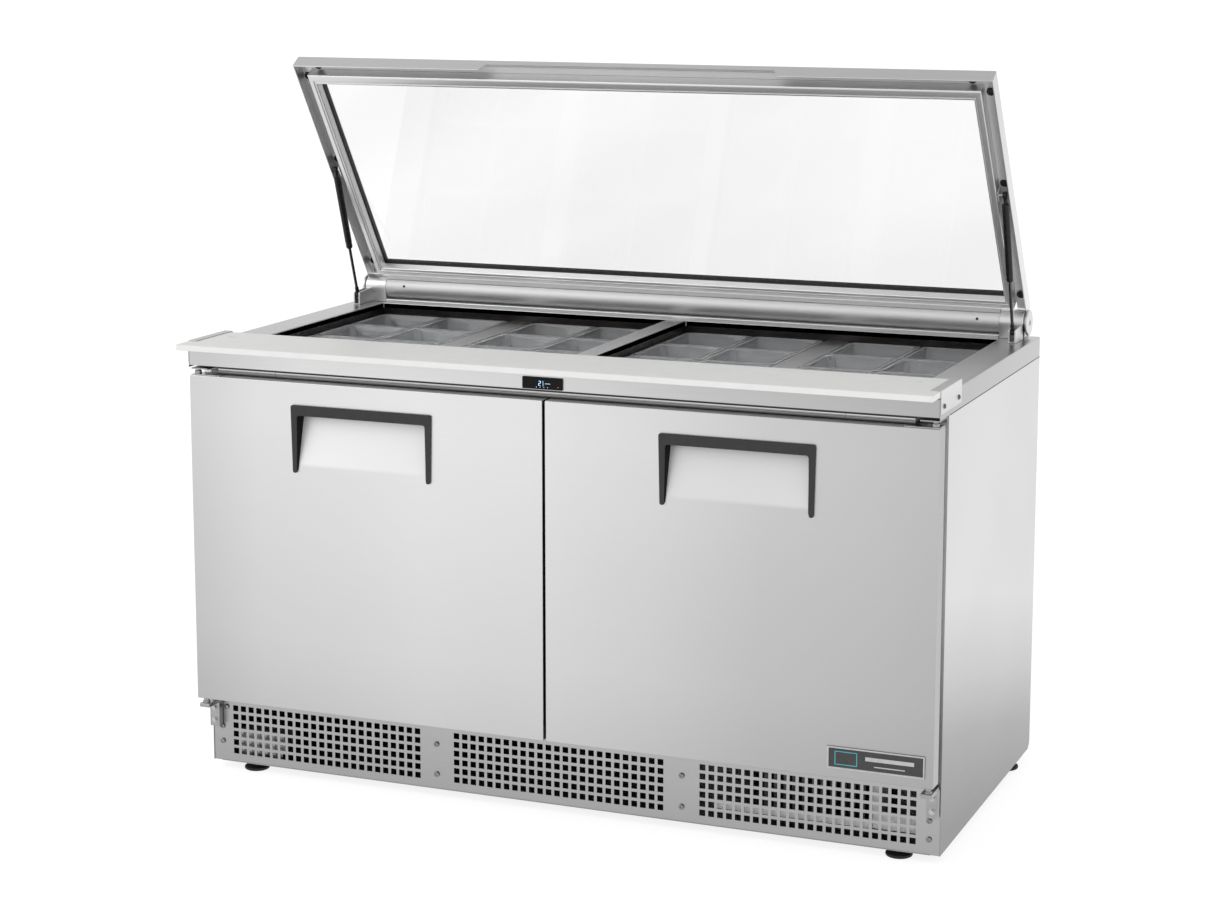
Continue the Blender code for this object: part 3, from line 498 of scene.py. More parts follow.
def door_steel():
    """Door skin: satin steel with painted studio light falling off down and across it, painted lighter and
    duller where it turns in.
    """
    look = Look("door_steel", "stainless")
    lines = look.noise((6, 900, 900), 5.0, 0.65)
    clouds = look.noise((1.3, 1.3, 1.6), 2.0)
    # painted light: greys down each door and across both doors
    down = ((0.0, 0.72), (0.25, 0.82), (0.6, 0.885), (1.0, 0.965))
    along = ((0.0, 0.65), (0.09, 0.74), (0.33, 0.81), (0.50, 0.785), (0.64, 0.715))
    along += ((0.79, 0.616), (1.0, 0.545))
    fall = look.greys(look.axis("Z", 0.17, 0.80), *down)
    painted_across = look.greys(look.axis("X", -0.8, 0.8), *along)
    tone = look.dulled(look.dulled(look.mixed(1.0, fall, painted_across, "MULTIPLY"), clouds, 0.96), lines, 0.96)
    turned_in = look.axis("Y", FRONT + 0.0008, FRONT + 0.0030)
    # the faces that turn in, the pocket's wedge among them, get a painted light, lighter to the left
    recess = look.greys(look.axis("X", -0.8, 0.8), (0.0, 0.86), (0.75, 0.66))
    shaded = look.greys(clouds, (0.30, 0.020), (0.70, 0.030))
    # the sides that face each other get painted shade, and the outer sides a painted middling shade
    right_half = look.mixed(look.axis("X", 0.0029, 0.0033), shaded, recess)
    recess = look.mixed(look.axis("X", -0.0033, -0.0029), recess, right_half)
    outer = look.greys(clouds, (0.30, 0.40), (0.70, 0.43))
    recess = look.mixed(look.axis("X", 0.8119, 0.8126), recess, outer)
    recess = look.mixed(look.axis("X", -0.8126, -0.8119), outer, recess)
    look.base(look.mixed(turned_in, tone, recess))
    look.metallic(turned_in, 1.0, 0.45)
    return look.finished(lines, (0.34, 0.44), lines, 0.04, 0.0002)


def side_steel():
    """Side skin: satin steel with a painted reflection of the floor's gradient, leaning a little to the back.
    """
    look = Look("side_steel", "stainless", 1.0)
    lines = look.noise((900, 5, 900), 5.0, 0.65)
    clouds = look.noise((1.3, 1.3, 1.6), 2.0)
    parts = look.parts(look.place)
    lean = look.node("Math", operation="MULTIPLY_ADD")
    lean.inputs[1].default_value = 0.22
    look.link(parts["Y"], lean.inputs[0])
    look.link(parts["Z"], lean.inputs[2])
    # painted reflection of the floor: dark low down, lighter up the panel
    stops = ((0.0, 0.27), (0.20, 0.387), (0.333, 0.57), (0.51, 0.73), (1.0, 0.715))
    tone = look.greys(look.ranged(lean.outputs[0], 0.0, 0.92, 0.0, 1.0), *stops)
    look.base(look.dulled(look.dulled(tone, clouds, 0.93), lines, 0.96))
    return look.finished(lines, (0.34, 0.44), lines, 0.04, 0.0002)


def graded(name, letter, span, stops, rough):
    """Brushed stainless with painted light and shade running through several stops along one axis."""
    look = Look(name, "stainless", 1.0)
    lines = look.noise((6, 900, 900), 5.0, 0.65)
    look.base(look.dulled(look.greys(look.axis(letter, *span), *stops), lines, 0.93))
    return look.finished(lines, rough, lines, 0.04, 0.0002)


def cabinet_liner():
    """White liner inside the cold room, with a stainless face round the doorways."""
    look = Look("cabinet_liner", "white_liner")
    pebbles = look.noise(260, 3.0)
    lines = look.noise((8, 900, 900), 4.0)
    face = look.axis("Y", -0.3156, -0.3152)
    liner = look.greys(pebbles, (0.3, 0.66), (0.7, 0.74))
    steel = look.greys(lines, (0.3, 0.34), (0.7, 0.48))
    look.base(look.mixed(face, steel, liner))
    look.metallic(face, 1.0, 0.0)
    return look.finished(pebbles, (0.34, 0.42), pebbles, 0.08)


def clear(name, slot, tint, lift, rough, ior, streaks, tilt=0.0, through=1.0):
    """Clear glass or plastic, its tint lightened in slow streaks along a tilted line as painted reflections.
    """
    look = Look(name, slot, Transmission_Weight=through, IOR=ior)
    turned = look.node("Mapping")
    turned.inputs["Rotation"].default_value = (0.0, tilt, 0.0)
    look.link(look.place, turned.inputs["Vector"])
    look.place = turned.outputs["Vector"]
    # painted reflection streaks: slow bands that lighten the tint
    reflection_streaks = look.noise(streaks, 2.0, 0.4)
    look.base(look.colours(reflection_streaks, (0.38, tint), (0.62, tuple(min(1.0, c * lift) for c in tint))))
    return look.finished(reflection_streaks, rough, reflection_streaks, 0.0)


def finned(name, slot, pitch, dark, light):
    """Closely spaced fins across X: light fins with painted shade between them."""
    look = Look(name, slot, 1.0)
    wave = look.node("TexWave", wave_type="BANDS", bands_direction="X")
    wave.inputs["Scale"].default_value = math.pi / (10 * pitch)
    look.link(look.place, wave.inputs["Vector"])
    dust = look.noise(40, 4.0)
    # light bands are the fins, dark bands painted shade in the gaps between them
    fins_and_gap_shade = look.greys(wave.outputs["Fac"], (0.25, dark), (0.6, light))
    grime = look.colours(dust, (0.3, grey(0.7, 0.05)), (0.7, grey(1.0)))
    look.base(look.mixed(1.0, fins_and_gap_shade, grime, "MULTIPLY"))
    return look.finished(dust, (0.35, 0.5), wave.outputs["Fac"], 0.6, 0.001)


def spangled(name, slot, dark, light):
    """Zinc-coated sheet, with its crystals."""
    look = Look(name, slot, 1.0)
    crystals = look.node("TexVoronoi")
    crystals.inputs["Scale"].default_value = 1.0
    look.link(look.stretched((150, 150, 150)), crystals.inputs["Vector"])
    parts = look.parts(crystals.outputs["Color"])
    look.base(look.greys(parts["X"], (0.0, dark), (1.0, light)))
    return look.finished(parts["Y"], (0.32, 0.5), look.noise(500), 0.05)


def glowing(name, colour, strength):
    """A lit mark, with a slight unevenness."""
    look = Look(name, "black_gloss", Emission_Strength=strength)
    flicker = look.noise(900, 2.0)
    shades = look.colours(flicker, (0.3, tuple(c * 0.85 for c in colour)), (0.7, colour))
    look.base(shades)
    look.link(shades, look.shader.inputs["Emission Color"])
    return look.material


# painted light across the apron, and painted shade down the header strip: dark at its foot and in a shadow
# line under the apron's lip
APRON_PAINTED_LIGHT = ((0.0, 0.56), (0.16, 0.71), (0.33, 0.69), (0.575, 0.617), (0.70, 0.54), (1.0, 0.44))
HEADER_PAINTED_SHADE = ((0.0, 0.05), (0.20, 0.18), (0.42, 0.46), (0.58, 0.62), (0.67, 0.86), (0.72, 0.05))
# heights over which the lid's and the tube's painted shade runs
LID_SHADE_SPAN, TUBE_SHADE_SPAN = (0.95, 1.5), (0.94, 1.0)
DOOR_STEEL = door_steel()
SIDE_STEEL = side_steel()
# each brushed steel and aluminium below gets a painted shade along one axis, between its two shades
DECK_STEEL = brushed("deck_steel", "stainless", (6, 700, 700), 0.50, 0.42, (-0.4, 0.4), (0.26, 0.34), "Y")
TRIM_STEEL = brushed("trim_steel", "stainless", (10, 900, 900), 0.72, 0.60, (0.88, 0.95))
APRON_STEEL = graded("apron_steel", "X", (-0.8, 0.8), APRON_PAINTED_LIGHT, (0.30, 0.40))
HEADER_STEEL = graded("header_steel", "Z", (0.8793, 0.8950), HEADER_PAINTED_SHADE, (0.36, 0.46))
GRILLE_STEEL = brushed("grille_steel", "stainless", (10, 900, 900), 0.44, 0.36, (0.0, 0.17))
ALUMINIUM = brushed(
    "lid_aluminium", "aluminium", (5, 1400, 1400), 0.66, 0.86, LID_SHADE_SPAN, (0.42, 0.46),
    strength=0.02, depth=0.03,
)
SATIN = brushed(
    "satin_tube", "aluminium", (4, 1400, 1400), 0.74, 0.64, TUBE_SHADE_SPAN, (0.52, 0.56),
    strength=0.02, depth=0.03,
)
BOARD = plain("board_plastic", "white_board", (0.73, 0.73, 0.72), (0.79, 0.79, 0.78), (0.40, 0.52), 420, 0.08)
DARK = plain("handle_plastic", "dark_plastic", 0.023, 0.034, (0.42, 0.54), 1400, 0.15, shine=0.3)
RUBBER = plain("seal_rubber", "black_rubber", 0.010, 0.020, (0.55, 0.7), 900, 0.15)
# near-black walls that stand for the shade inside the door pockets
POCKET_SHADE = plain("pocket_wall", "dark_plastic", 0.003, 0.006, (0.6, 0.7), 600, 0.1, shine=0.08)
FOOT_RUBBER = plain("foot_rubber", "black_rubber", 0.006, 0.012, (0.45, 0.6), 600, 0.2, shine=0.3)
PAINT = plain("black_paint", "black_paint", 0.006, 0.011, (0.24, 0.32), 500, 0.06, shine=0.3)
GLOSS = plain("controller_gloss", "black_gloss", 0.003, 0.006, (0.16, 0.24), 300, 0.02, shine=0.14)
WELL = plain(
    "well_liner", "well_liner", (0.013, 0.011, 0.011), (0.022, 0.018, 0.017), (0.18, 0.28), 200, 0.05, 0.4
)
ZINC = plain("zinc_screw", "stainless", 0.40, 0.54, (0.20, 0.30), 900, 0.08, 1.0)
GREY_SCREW = plain("grey_screw", "stainless", 0.20, 0.36, (0.20, 0.30), 900, 0.08, 1.0)
DARK_SCREW = plain("dark_screw", "stainless", 0.10, 0.18, (0.22, 0.32), 900, 0.08, 1.0)
BRACKET = plain("bracket_steel", "stainless", 0.28, 0.40, (0.24, 0.34), 700, 0.08, 1.0)
CHROME = plain("spring_rod", "black_paint", 0.06, 0.09, (0.16, 0.24), 900, 0.03, 1.0)
WIRE = plain("shelf_wire", "stainless", 0.66, 0.76, (0.28, 0.38), 600, 0.06, 1.0)
COPPER = plain(
    "copper_pipe", "copper_fins", (0.55, 0.27, 0.17), (0.68, 0.36, 0.24), (0.22, 0.34), 300, 0.05, 1.0
)
TEAL = plain("badge_frame", "black_gloss", (0.05, 0.30, 0.36), (0.08, 0.40, 0.46), (0.3, 0.4), 700, 0.08)
BADGE = plain("badge_field", "black_gloss", 0.035, 0.055, (0.30, 0.40), 700, 0.08, 0.3)
LINER = cabinet_liner()
DOOR_LINER = plain("door_liner", "stainless", 0.66, 0.78, (0.32, 0.42), 300, 0.08)
GLASS = clear(
    "lid_glass", "clear_glass", (0.845, 0.840, 0.845), 1.12, (0.0, 0.01), 1.45, (0.5, 0.5, 2.6), 0.5
)
CLEAR = clear("pan_plastic", "clear_plastic", (0.89, 0.905, 0.92), 1.04, (0.03, 0.09), 1.5, 30, 0.0, 0.84)
FINS = finned("condenser_fins", "copper_fins", 0.0026, 0.05, 0.28)
COIL = finned("coil_fins", "copper_fins", 0.0030, 0.14, 0.66)
GALVANISED = spangled("zinc_sheet", "galvanised", 0.36, 0.45)
# the base pan's zinc, painted near black as the shade behind the grille
ZINC_IN_SHADE = spangled("base_sheet", "galvanised", 0.06, 0.11)
DIGITS = glowing("display_digits", (0.45, 0.70, 1.0), 1.4)
RED_DOT = glowing("display_dot", (1.0, 0.10, 0.06), 1.2)


# ================================================================ fasteners
def screw_head(radius):
    """A pan head with a cross recess, looking along +Z."""
    dome = [(0.0, 0.0), (radius, 0.0), (radius, radius * 0.22), (radius * 0.82, radius * 0.46)]
    head = lathed([*dome, (radius * 0.45, radius * 0.60), (0.0, radius * 0.64)], 20)
    long, thin = radius * 0.62, radius * 0.13
    cross = []
    for quarter in range(4):
        turn = Matrix.Rotation(math.pi / 2 * quarter, 2)
        cross += [turn @ Vector(corner) for corner in ((thin, thin), (thin, long), (-thin, long))]
    recess = extruded(cross, lambda x, y: (x, y, radius * 0.28), Vector((0, 0, radius)))
    return cut(head, [recess])


def bolt_head(radius):
    """A washer with a hexagon head, looking along +Z."""
    wide, thick = radius * 1.35, radius * 0.2
    washer = lathed([(0.0, 0.0), (wide, 0.0), (wide, thick), (0.0, thick)], 24)
    turn = [math.radians(60 * k + 15) for k in range(6)]
    hexagon = [(radius * math.cos(a), radius * math.sin(a)) for a in turn]
    head = extruded(hexagon, lambda x, y: (x, y, radius * 0.2), Vector((0, 0, radius * 0.75)))
    return together([washer, eased(head, radius * 0.1, 2, 0.9)])


def screws(name, places, direction, radius, body, look=ZINC, head=screw_head):
    spots = [facing(p, direction, 0.6 * i) for i, p in enumerate(places)]
    return piece(name, repeated(head(radius), spots), look, body)


# ================================================================ cabinet
SHEET = 0.0015  # thickness of the folded steel


def side_panels():
    """Side skins with a lip folded round the front, and a black strip under the deck's skirt as a painted
    shadow seam.
    """
    lip_deep, lip_foot, chamfer = 0.018, 0.1475, 0.012
    for side, sign in SIDES:
        low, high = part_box(f"side_panel_{side}")
        edge = inner_outer(low, high, sign)[1]
        sides = [(low.y, low.z), (high.y - chamfer, low.z), (high.y, low.z + chamfer)]
        skin = along_x([*sides, (high.y, high.z), (low.y, high.z)], edge, -sign * SHEET, 0.0006)
        lip = slab((edge, low.y, low.z + lip_foot), (edge - sign * lip_deep, low.y + SHEET, high.z), 0.0005)
        piece(f"side_skin_{side}", together([skin, lip]), SIDE_STEEL, "cabinet", [f"side_panel_{side}"])
        # a black strip as a painted shadow line under the deck's skirt
        seam = slab(
            (edge - sign * 0.0010, low.y + 0.004, deck_low.z - 0.0018),
            (edge + sign * 0.0003, high.y - 0.001, deck_low.z - 0.0002),
            0.0002,
        )
        piece(f"side_seam_shadow_{side}", seam, RUBBER, "cabinet")


def worktop():
    """Deck folded down at its sides and back, with two openings whose edges turn down."""
    margin, turned_down, fold, thick = 0.004, 0.012, 0.0022, 0.0012
    low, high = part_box("pan_well_right")
    inner, outer = low.x + margin, high.x - margin
    half = deck_high.x
    across = [-half, -outer, -inner, inner, outer, half]
    along = [deck_low.y, low.y + margin, high.y - margin, deck_high.y]
    shape = bmesh.new()
    grid = [[shape.verts.new((x, y, DECK)) for y in along] for x in across]
    for i in range(5):
        for j in range(3):
            if not (j == 1 and i in (1, 3)):
                shape.faces.new((grid[i][j], grid[i + 1][j], grid[i + 1][j + 1], grid[i][j + 1]))
    inside = {v for row in grid[1:-1] for v in row[1:-1]}
    rim, skirt = [], []
    for edge in shape.edges:
        if not edge.is_boundary:
            continue
        if all(v in inside for v in edge.verts):
            rim.append(edge)
        elif any(abs(v.co.y - deck_low.y) > 1e-6 for v in edge.verts):
            skirt.append(edge)
    for group, drop in ((rim, turned_down), (skirt, deck_high.z - deck_low.z)):
        pulled(shape, bmesh.ops.extrude_edge_only(shape, edges=group), (0, 0, -drop))
    bmesh.ops.recalc_face_normals(shape, faces=shape.faces)
    eased(shape, fold, 4)
    bmesh.ops.solidify(shape, geom=shape.faces, thickness=thick)
    piece("worktop_sheet", shape, DECK_STEEL, "cabinet", ["worktop"])


def fascia():
    """The apron under the board, with the controller's window, and the header strip behind its lower edge."""
    low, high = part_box("front_fascia")
    top, bottom, front, shelf = high.z, 0.8983, low.y, 0.030
    profile = curved(
        [
            (front, top - 0.0012, 0.0011),
            (front, bottom, 0.0022),
            (front + shelf, bottom, 0.0004),
            (front + shelf, bottom + SHEET, 0),
            (front + SHEET, bottom + SHEET, 0.0008),
            (front + SHEET, top, 0),
        ]
    )
    start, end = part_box("controller")
    edge = 0.001
    window = cube((start.x + edge, front - 0.01, start.z + edge), (end.x - edge, front + 0.01, end.z - edge))
    sheet = cut(along_x(profile, -high.x, 2 * high.x), [window])
    piece("fascia_sheet", sheet, APRON_STEEL, "cabinet", ["front_fascia"])

    half, joint_at, joint = 0.7578, 0.62, 0.0004
    face, rear, under, over = -0.3560, high.y, low.z + 0.0003, bottom - 0.0004
    groove = (under + over) / 2 - 0.0020
    profile = [
        (face, over, 0.0008),
        (face, groove + 0.0012, 0.0004),
        (face + 0.0020, groove + 0.0006, 0.0003),
        (face + 0.0020, groove - 0.0006, 0.0003),
        (face - 0.0004, groove - 0.0014, 0.0004),
        (face - 0.0004, under, 0.0010),
        (rear, under, 0),
        (rear, over, 0),
    ]
    joints = [
        cube((x - joint, face - 0.01, under - 0.01), (x + joint, face + 0.003, over + 0.01))
        for x in (-joint_at, joint_at)
    ]
    strip = along_x(curved(profile, 3), -half, 2 * half)
    # its steel carries painted shade, dark at its foot and under the apron's lip
    piece("header_strip", cut(strip, joints), HEADER_STEEL, "cabinet")


def controller():
    """The controller's case with its keys and window, and a lit digit with plain marks."""
    low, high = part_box("controller")
    front, middle = low.y, (low.z + high.z) / 2
    bezel = along_y(rounded_box(low, high, 0.002), front, 0.0027, 0.0006)
    body = slab(
        (low.x + 0.004, front + 0.0025, low.z + 0.003), (high.x - 0.004, high.y, high.z - 0.003), 0.001
    )
    window = slab((-0.026, front - 0.0003, middle - 0.0085), (0.040, front + 0.0004, middle + 0.0085), 0.0002)
    keys = [
        slab((low.x + 0.0035, front - 0.0006, z), (low.x + 0.0095, front + 0.001, z + 0.0038), 0.0006)
        for z in (low.z + 0.0035, low.z + 0.0098, low.z + 0.0160)
    ]
    piece("controller_case", together([bezel, body, window, *keys]), GLOSS, "cabinet", ["controller"])

    face, proud = front - 0.0005, 0.0003
    tall, wide, thick, gap = 0.0045, 0.0042, 0.0009, 0.0003
    bars = []
    for side, up in ((0, 1), (1, 0.5), (0, 0), (-1, -0.5), (0, -1)):
        half = (thick / 2, tall / 2 - gap) if side else (wide / 2 - gap, thick / 2)
        bars.append((-0.0055 + side * wide / 2, middle + up * tall, *half))
    bars += [(0.0075 + 0.0030 * i, middle - 0.0002, 0.0009, 0.0005) for i in range(4)]
    bars += [(-0.0125 + 0.0080 * i, middle - 0.0078, 0.0006, 0.0005) for i in range(4)]
    bars += [(0.00185, middle, 0.00025, 0.0055)]
    lit = [cube((x - w, face, z - h), (x + w, face + proud, z + h)) for x, z, w, h in bars]
    piece("display_digits", together(lit), DIGITS, "cabinet")
    dot = lathed([(0, 0), (0.0008, 0), (0.0008, proud), (0, proud)], 12)
    dot = moved(dot, facing((0.0345, face + proud, middle - 0.0060), (0, -1, 0)))
    piece("display_dot", dot, RED_DOT, "cabinet")


def grille():
    """Front cover with square holes in three fields."""
    low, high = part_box("grille")
    hole, pitch, first_row, edge, front = 0.0127, 0.01905, 0.0365, 0.0008, low.y
    across, open_columns = [low.x + edge], set()
    for start, count in ((-0.7638, 24), (-0.23495, 25), (0.31295, 24)):
        for i in range(count):
            open_columns.add(len(across))
            across += [start + i * pitch, start + i * pitch + hole]
    across.append(high.x - edge)
    up, open_rows = [low.z + 0.0006], set()
    for j in range(6):
        open_rows.add(len(up))
        up += [first_row + j * pitch, first_row + j * pitch + hole]
    up.append(high.z)
    sheet = perforated(
        across,
        up,
        lambda i, j: i in open_columns and j in open_rows,
        lambda x, z: (x, front + SHEET, z),
        SHEET,
    )
    turned = slab(
        (low.x + 0.02, front + 0.0002, low.z), (high.x - 0.02, front + 0.012, low.z + SHEET), 0.0005
    )
    ends = [
        slab((sign * high.x, front, low.z), (sign * (high.x - 0.0012), front + 0.0016, high.z), 0.0005)
        for sign in (-1, 1)
    ]
    piece("grille_sheet", together([sheet, turned, *ends]), GRILLE_STEEL, "cabinet", ["grille"])
    spots = [(sign * 0.2747, front, z) for sign in (-1, 1) for z in (0.1155, 0.0501)]
    spots += [(-0.7790, front, 0.1400), (-0.7905, front, 0.0955), (-0.7905, front, 0.0620)]
    spots += [(0.7790, front, 0.1400), (0.7905, front, 0.0880), (0.7905, front, 0.0500)]
    screws("grille_screws", spots, (0, -1, 0), 0.0056, "cabinet", GREY_SCREW)


def feet():
    """Levelling feet: a rubber pad, and a nut and thread that ride with it."""
    for name in [f"foot_{end}_{side}" for end in ("front", "rear") for side, _ in SIDES]:
        low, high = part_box(name)
        centre, radius = (low + high) / 2, (high.x - low.x) / 2
        pad = [(0.0, 0.0), (radius - 0.003, 0.0), (radius - 0.001, 0.0012), (radius, 0.0035)]
        pad += [(radius - 0.0006, 0.0062), (radius - 0.005, 0.0085), (0.014, 0.0100), (0.0, 0.0100)]
        piece(f"{name}_pad", shifted(lathed(pad, 36), centre.x, centre.y, 0), FOOT_RUBBER, name, [name])
        thread = [(0.0, 0.0095)]
        for i in range(22):
            z = 0.0100 + i * 0.0016
            thread += [(0.0055, z), (0.0048, z + 0.0008)]
        stem = shifted(lathed([*thread, (0.0, 0.0456)], 14), centre.x, centre.y, 0)
        nut = shifted(bolt_head(0.0075), centre.x, centre.y, 0.0098)
        piece(f"{name}_stem", together([stem, nut]), ZINC, name)


# ================================================================ wells, pans and board
def adapter_bars():
    """Flat bars across the wells, with a lowered tongue at each end."""
    for side, _ in SIDES:
        low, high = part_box(f"adapter_bar_{side}")
        x0, x1 = low.x + 0.004, high.x - 0.004
        profile = [
            (x0, high.z - 0.003, 0.0012),
            (x0 + 0.006, high.z, 0.0020),
            (x1 - 0.006, high.z, 0.0020),
            (x1, high.z - 0.003, 0.0012),
            (x1 - 0.003, low.z, 0.001),
            (x0 + 0.003, low.z, 0.001),
        ]
        bar = along_y(curved(profile), low.y + 0.0125, high.y - low.y - 0.025)
        ends = slab((x0 + 0.0035, low.y, high.z - 0.0028), (x1 - 0.0035, high.y, high.z - 0.0004), 0.0006)
        name = f"adapter_bar_{side}"
        piece(f"{name}_sheet", together([bar, ends]), DECK_STEEL, "cabinet", [name])


def rounded_ring(half_x, half_y, radius, z, steps=5):
    """The points of a rounded rectangle at one height."""
    corners = [(half_x, half_y), (-half_x, half_y), (-half_x, -half_y), (half_x, -half_y)]
    points = []
    for quarter, (cx, cy) in enumerate(corners):
        mx, my = cx - math.copysign(radius, cx), cy - math.copysign(radius, cy)
        for k in range(steps + 1):
            angle = math.pi / 2 * (quarter + k / steps)
            points.append(Vector((mx + radius * math.cos(angle), my + radius * math.sin(angle), z)))
    return points


def pan_mesh():
    """One sixth-size clear pan, rim at z = 0, with tapered walls and a turned-down lip."""
    half_x, half_y = 0.1618 / 2, 0.1756 / 2
    # (inset, corner radius, height) down the inside and up the outside
    inside = [
        (0.0, 0.013, -0.0060),
        (0.0, 0.013, -0.0010),
        (0.0010, 0.012, 0.0),
        (0.0088, 0.012, 0.0),
        (0.0104, 0.012, -0.0016),
        (0.0108, 0.012, -0.0140),
        (0.0122, 0.013, -0.0170),
        (0.0173, 0.018, -0.0810),
        (0.0213, 0.020, -0.0930),
        (0.0308, 0.016, -0.0986),
    ]
    outside = [
        (0.0318, 0.016, -0.1010),
        (0.0198, 0.020, -0.0950),
        (0.0151, 0.018, -0.0810),
        (0.0098, 0.013, -0.0180),
        (0.0084, 0.012, -0.0140),
        (0.0082, 0.012, -0.0022),
        (0.0022, 0.011, -0.0022),
        (0.0022, 0.011, -0.0060),
    ]
    shape = bmesh.new()
    rings = [
        [shape.verts.new(p) for p in rounded_ring(half_x - inset, half_y - inset, radius, z)]
        for inset, radius, z in inside + outside
    ]
    floor = len(inside) - 1
    for index, (first, second) in enumerate(zip(rings, rings[1:] + rings[:1])):
        if index == floor:
            shape.faces.new(first)
            shape.faces.new(second)
        else:
            bridged(shape, first, second)
    bmesh.ops.recalc_face_normals(shape, faces=shape.faces)
    return surfaced(shape, "food_pan", CLEAR, 50)


def food_pans():
    """Six pans in each lift-out set."""
    mesh = pan_mesh()
    for group in [f"{side}_{place}" for side, _ in SIDES for place in ("inner", "outer")]:
        node = f"pan_set_{group}"
        low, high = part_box(node)
        wide, deep = (high.x - low.x) / 2, (high.y - low.y) / 3
        for i in range(6):
            pan = added(f"food_pan_{group}_{i + 1}", mesh)
            pan.location = (low.x + wide * (i // 3 + 0.5), low.y + deep * (i % 3 + 0.5), high.z)
            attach(pan, f"pans_{group}")
            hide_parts(node)


def board():
    """Cutting board, notched round its rails, with two inlaid marks."""
    low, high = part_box("cutting_board")
    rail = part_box("board_rail_right")[0]
    inner, notch = rail.x - 0.0008, rail.y - 0.0005
    outline = [
        (low.x, low.y, 0.004),
        (high.x, low.y, 0.004),
        (high.x, notch, 0.002),
        (inner, notch, 0),
        (inner, high.y, 0.003),
        (-inner, high.y, 0.003),
        (-inner, notch, 0),
        (low.x, notch, 0.002),
    ]
    plank = extruded(curved(outline), lambda x, y: (x, y, low.z), Vector((0, 0, high.z - low.z)))
    eased(plank, 0.0026, 4, 1.2)
    marks = ((-0.755, -0.300), (0.748, -0.297))

    def at_marks(half_x, half_y, under, over, radius):
        return [
            slab((x - half_x, y - half_y, high.z + under), (x + half_x, y + half_y, high.z + over), radius)
            for x, y in marks
        ]

    slots = at_marks(0.0075, 0.0018, -0.0030, 0.0050, 0.0006)
    piece("board_plank", cut(plank, slots), BOARD, "board", ["cutting_board"])
    piece("board_inlays", together(at_marks(0.0074, 0.0017, -0.0029, -0.0008, 0.0004)), DARK, "board")


def board_rails():
    for side, sign in SIDES:
        low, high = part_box(f"board_rail_{side}")
        inner, outer = inner_outer(low, high, sign)
        profile = [
            (inner, high.z - 0.0125, 0),
            (inner, high.z, 0.0012),
            (outer, high.z, 0.0020),
            (outer, low.z, 0.0004),
            (outer - sign * 0.0010, low.z, 0.0004),
            (outer - sign * 0.0010, high.z - 0.0135, 0),
        ]
        rail = eased(along_y(curved(profile, 3), low.y, high.y - low.y), 0.0004, 2, 1.3)
        piece(f"board_rail_{side}_sheet", rail, TRIM_STEEL, "cabinet", [f"board_rail_{side}"])
        cap = slab(
            (inner, low.y + 0.0004, high.z - 0.0010),
            (outer - sign * 0.0016, high.y - 0.0004, high.z + 0.0003),
            0.0005,
        )
        piece(f"board_rail_{side}_cap", cap, DECK_STEEL, "cabinet")
        spots = [(outer, y, 0.9185) for y in (low.y + 0.022, high.y - 0.022)]
        screws(f"board_rail_{side}_screws", spots, (sign, 0, 0), 0.0050, "cabinet", DARK_SCREW)


# ================================================================ doors
BEZEL_BAR, BEZEL_LEG, BEZEL_TOE, BEZEL_SLOPE = 0.0220, 0.0140, 0.0095, 0.0030
POCKET_DEEP, POCKET_BACK = 0.028, 0.026  # its depth, and the height of its upright back


def doors():
    """Doors with their pockets, liners and seals, and black strips beside them as painted shadow in the gaps.
    """
    skin_deep = 0.0395
    for side, sign in SIDES:
        body = f"door_{side}"
        low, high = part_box(body)
        bezel_low, bezel_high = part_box(f"handle_bezel_{side}")
        x0, x1 = bezel_low.x + 0.010, bezel_high.x - 0.010
        top, bottom = bezel_high.z - 0.004, bezel_low.z + 0.002
        wedge = [(low.y - 0.002, bottom), (low.y + POCKET_DEEP, top - POCKET_BACK)]
        wedge += [(low.y + POCKET_DEEP, top), (low.y - 0.002, top)]
        skin = eased(cube(low, (high.x, low.y + skin_deep, high.z)), 0.0022, 4)
        skin = cut(skin, [along_x(wedge, x0, x1 - x0)])
        piece(f"door_{side}_skin", skin, DOOR_STEEL, body, [body])
        inset = 0.003
        liner = slab(
            (low.x + inset, low.y + skin_deep + 0.0002, low.z + inset),
            (high.x - inset, high.y, high.z - inset),
            0.0015,
            3,
        )
        piece(f"door_{side}_liner", liner, DOOR_LINER, body)
        handle_bezel(side, body, low.y, x0, x1, top, bottom)
        gasket(side, body)
        # a black strip as painted shadow in the gap beside the door
        shade = cube((sign * 0.7955, -0.3176, 0.1880), (sign * 0.8126, -0.3170, 0.8700))
        piece(f"door_{side}_shadow_gap", shade, RUBBER, "cabinet")
        plate = slab(
            (sign * 0.742, low.y + 0.004, high.z - 0.0010),
            (sign * 0.811, high.y - 0.006, high.z + 0.0016),
            0.0006,
        )
        piece(f"door_{side}_top_plate", plate, ZINC, body)


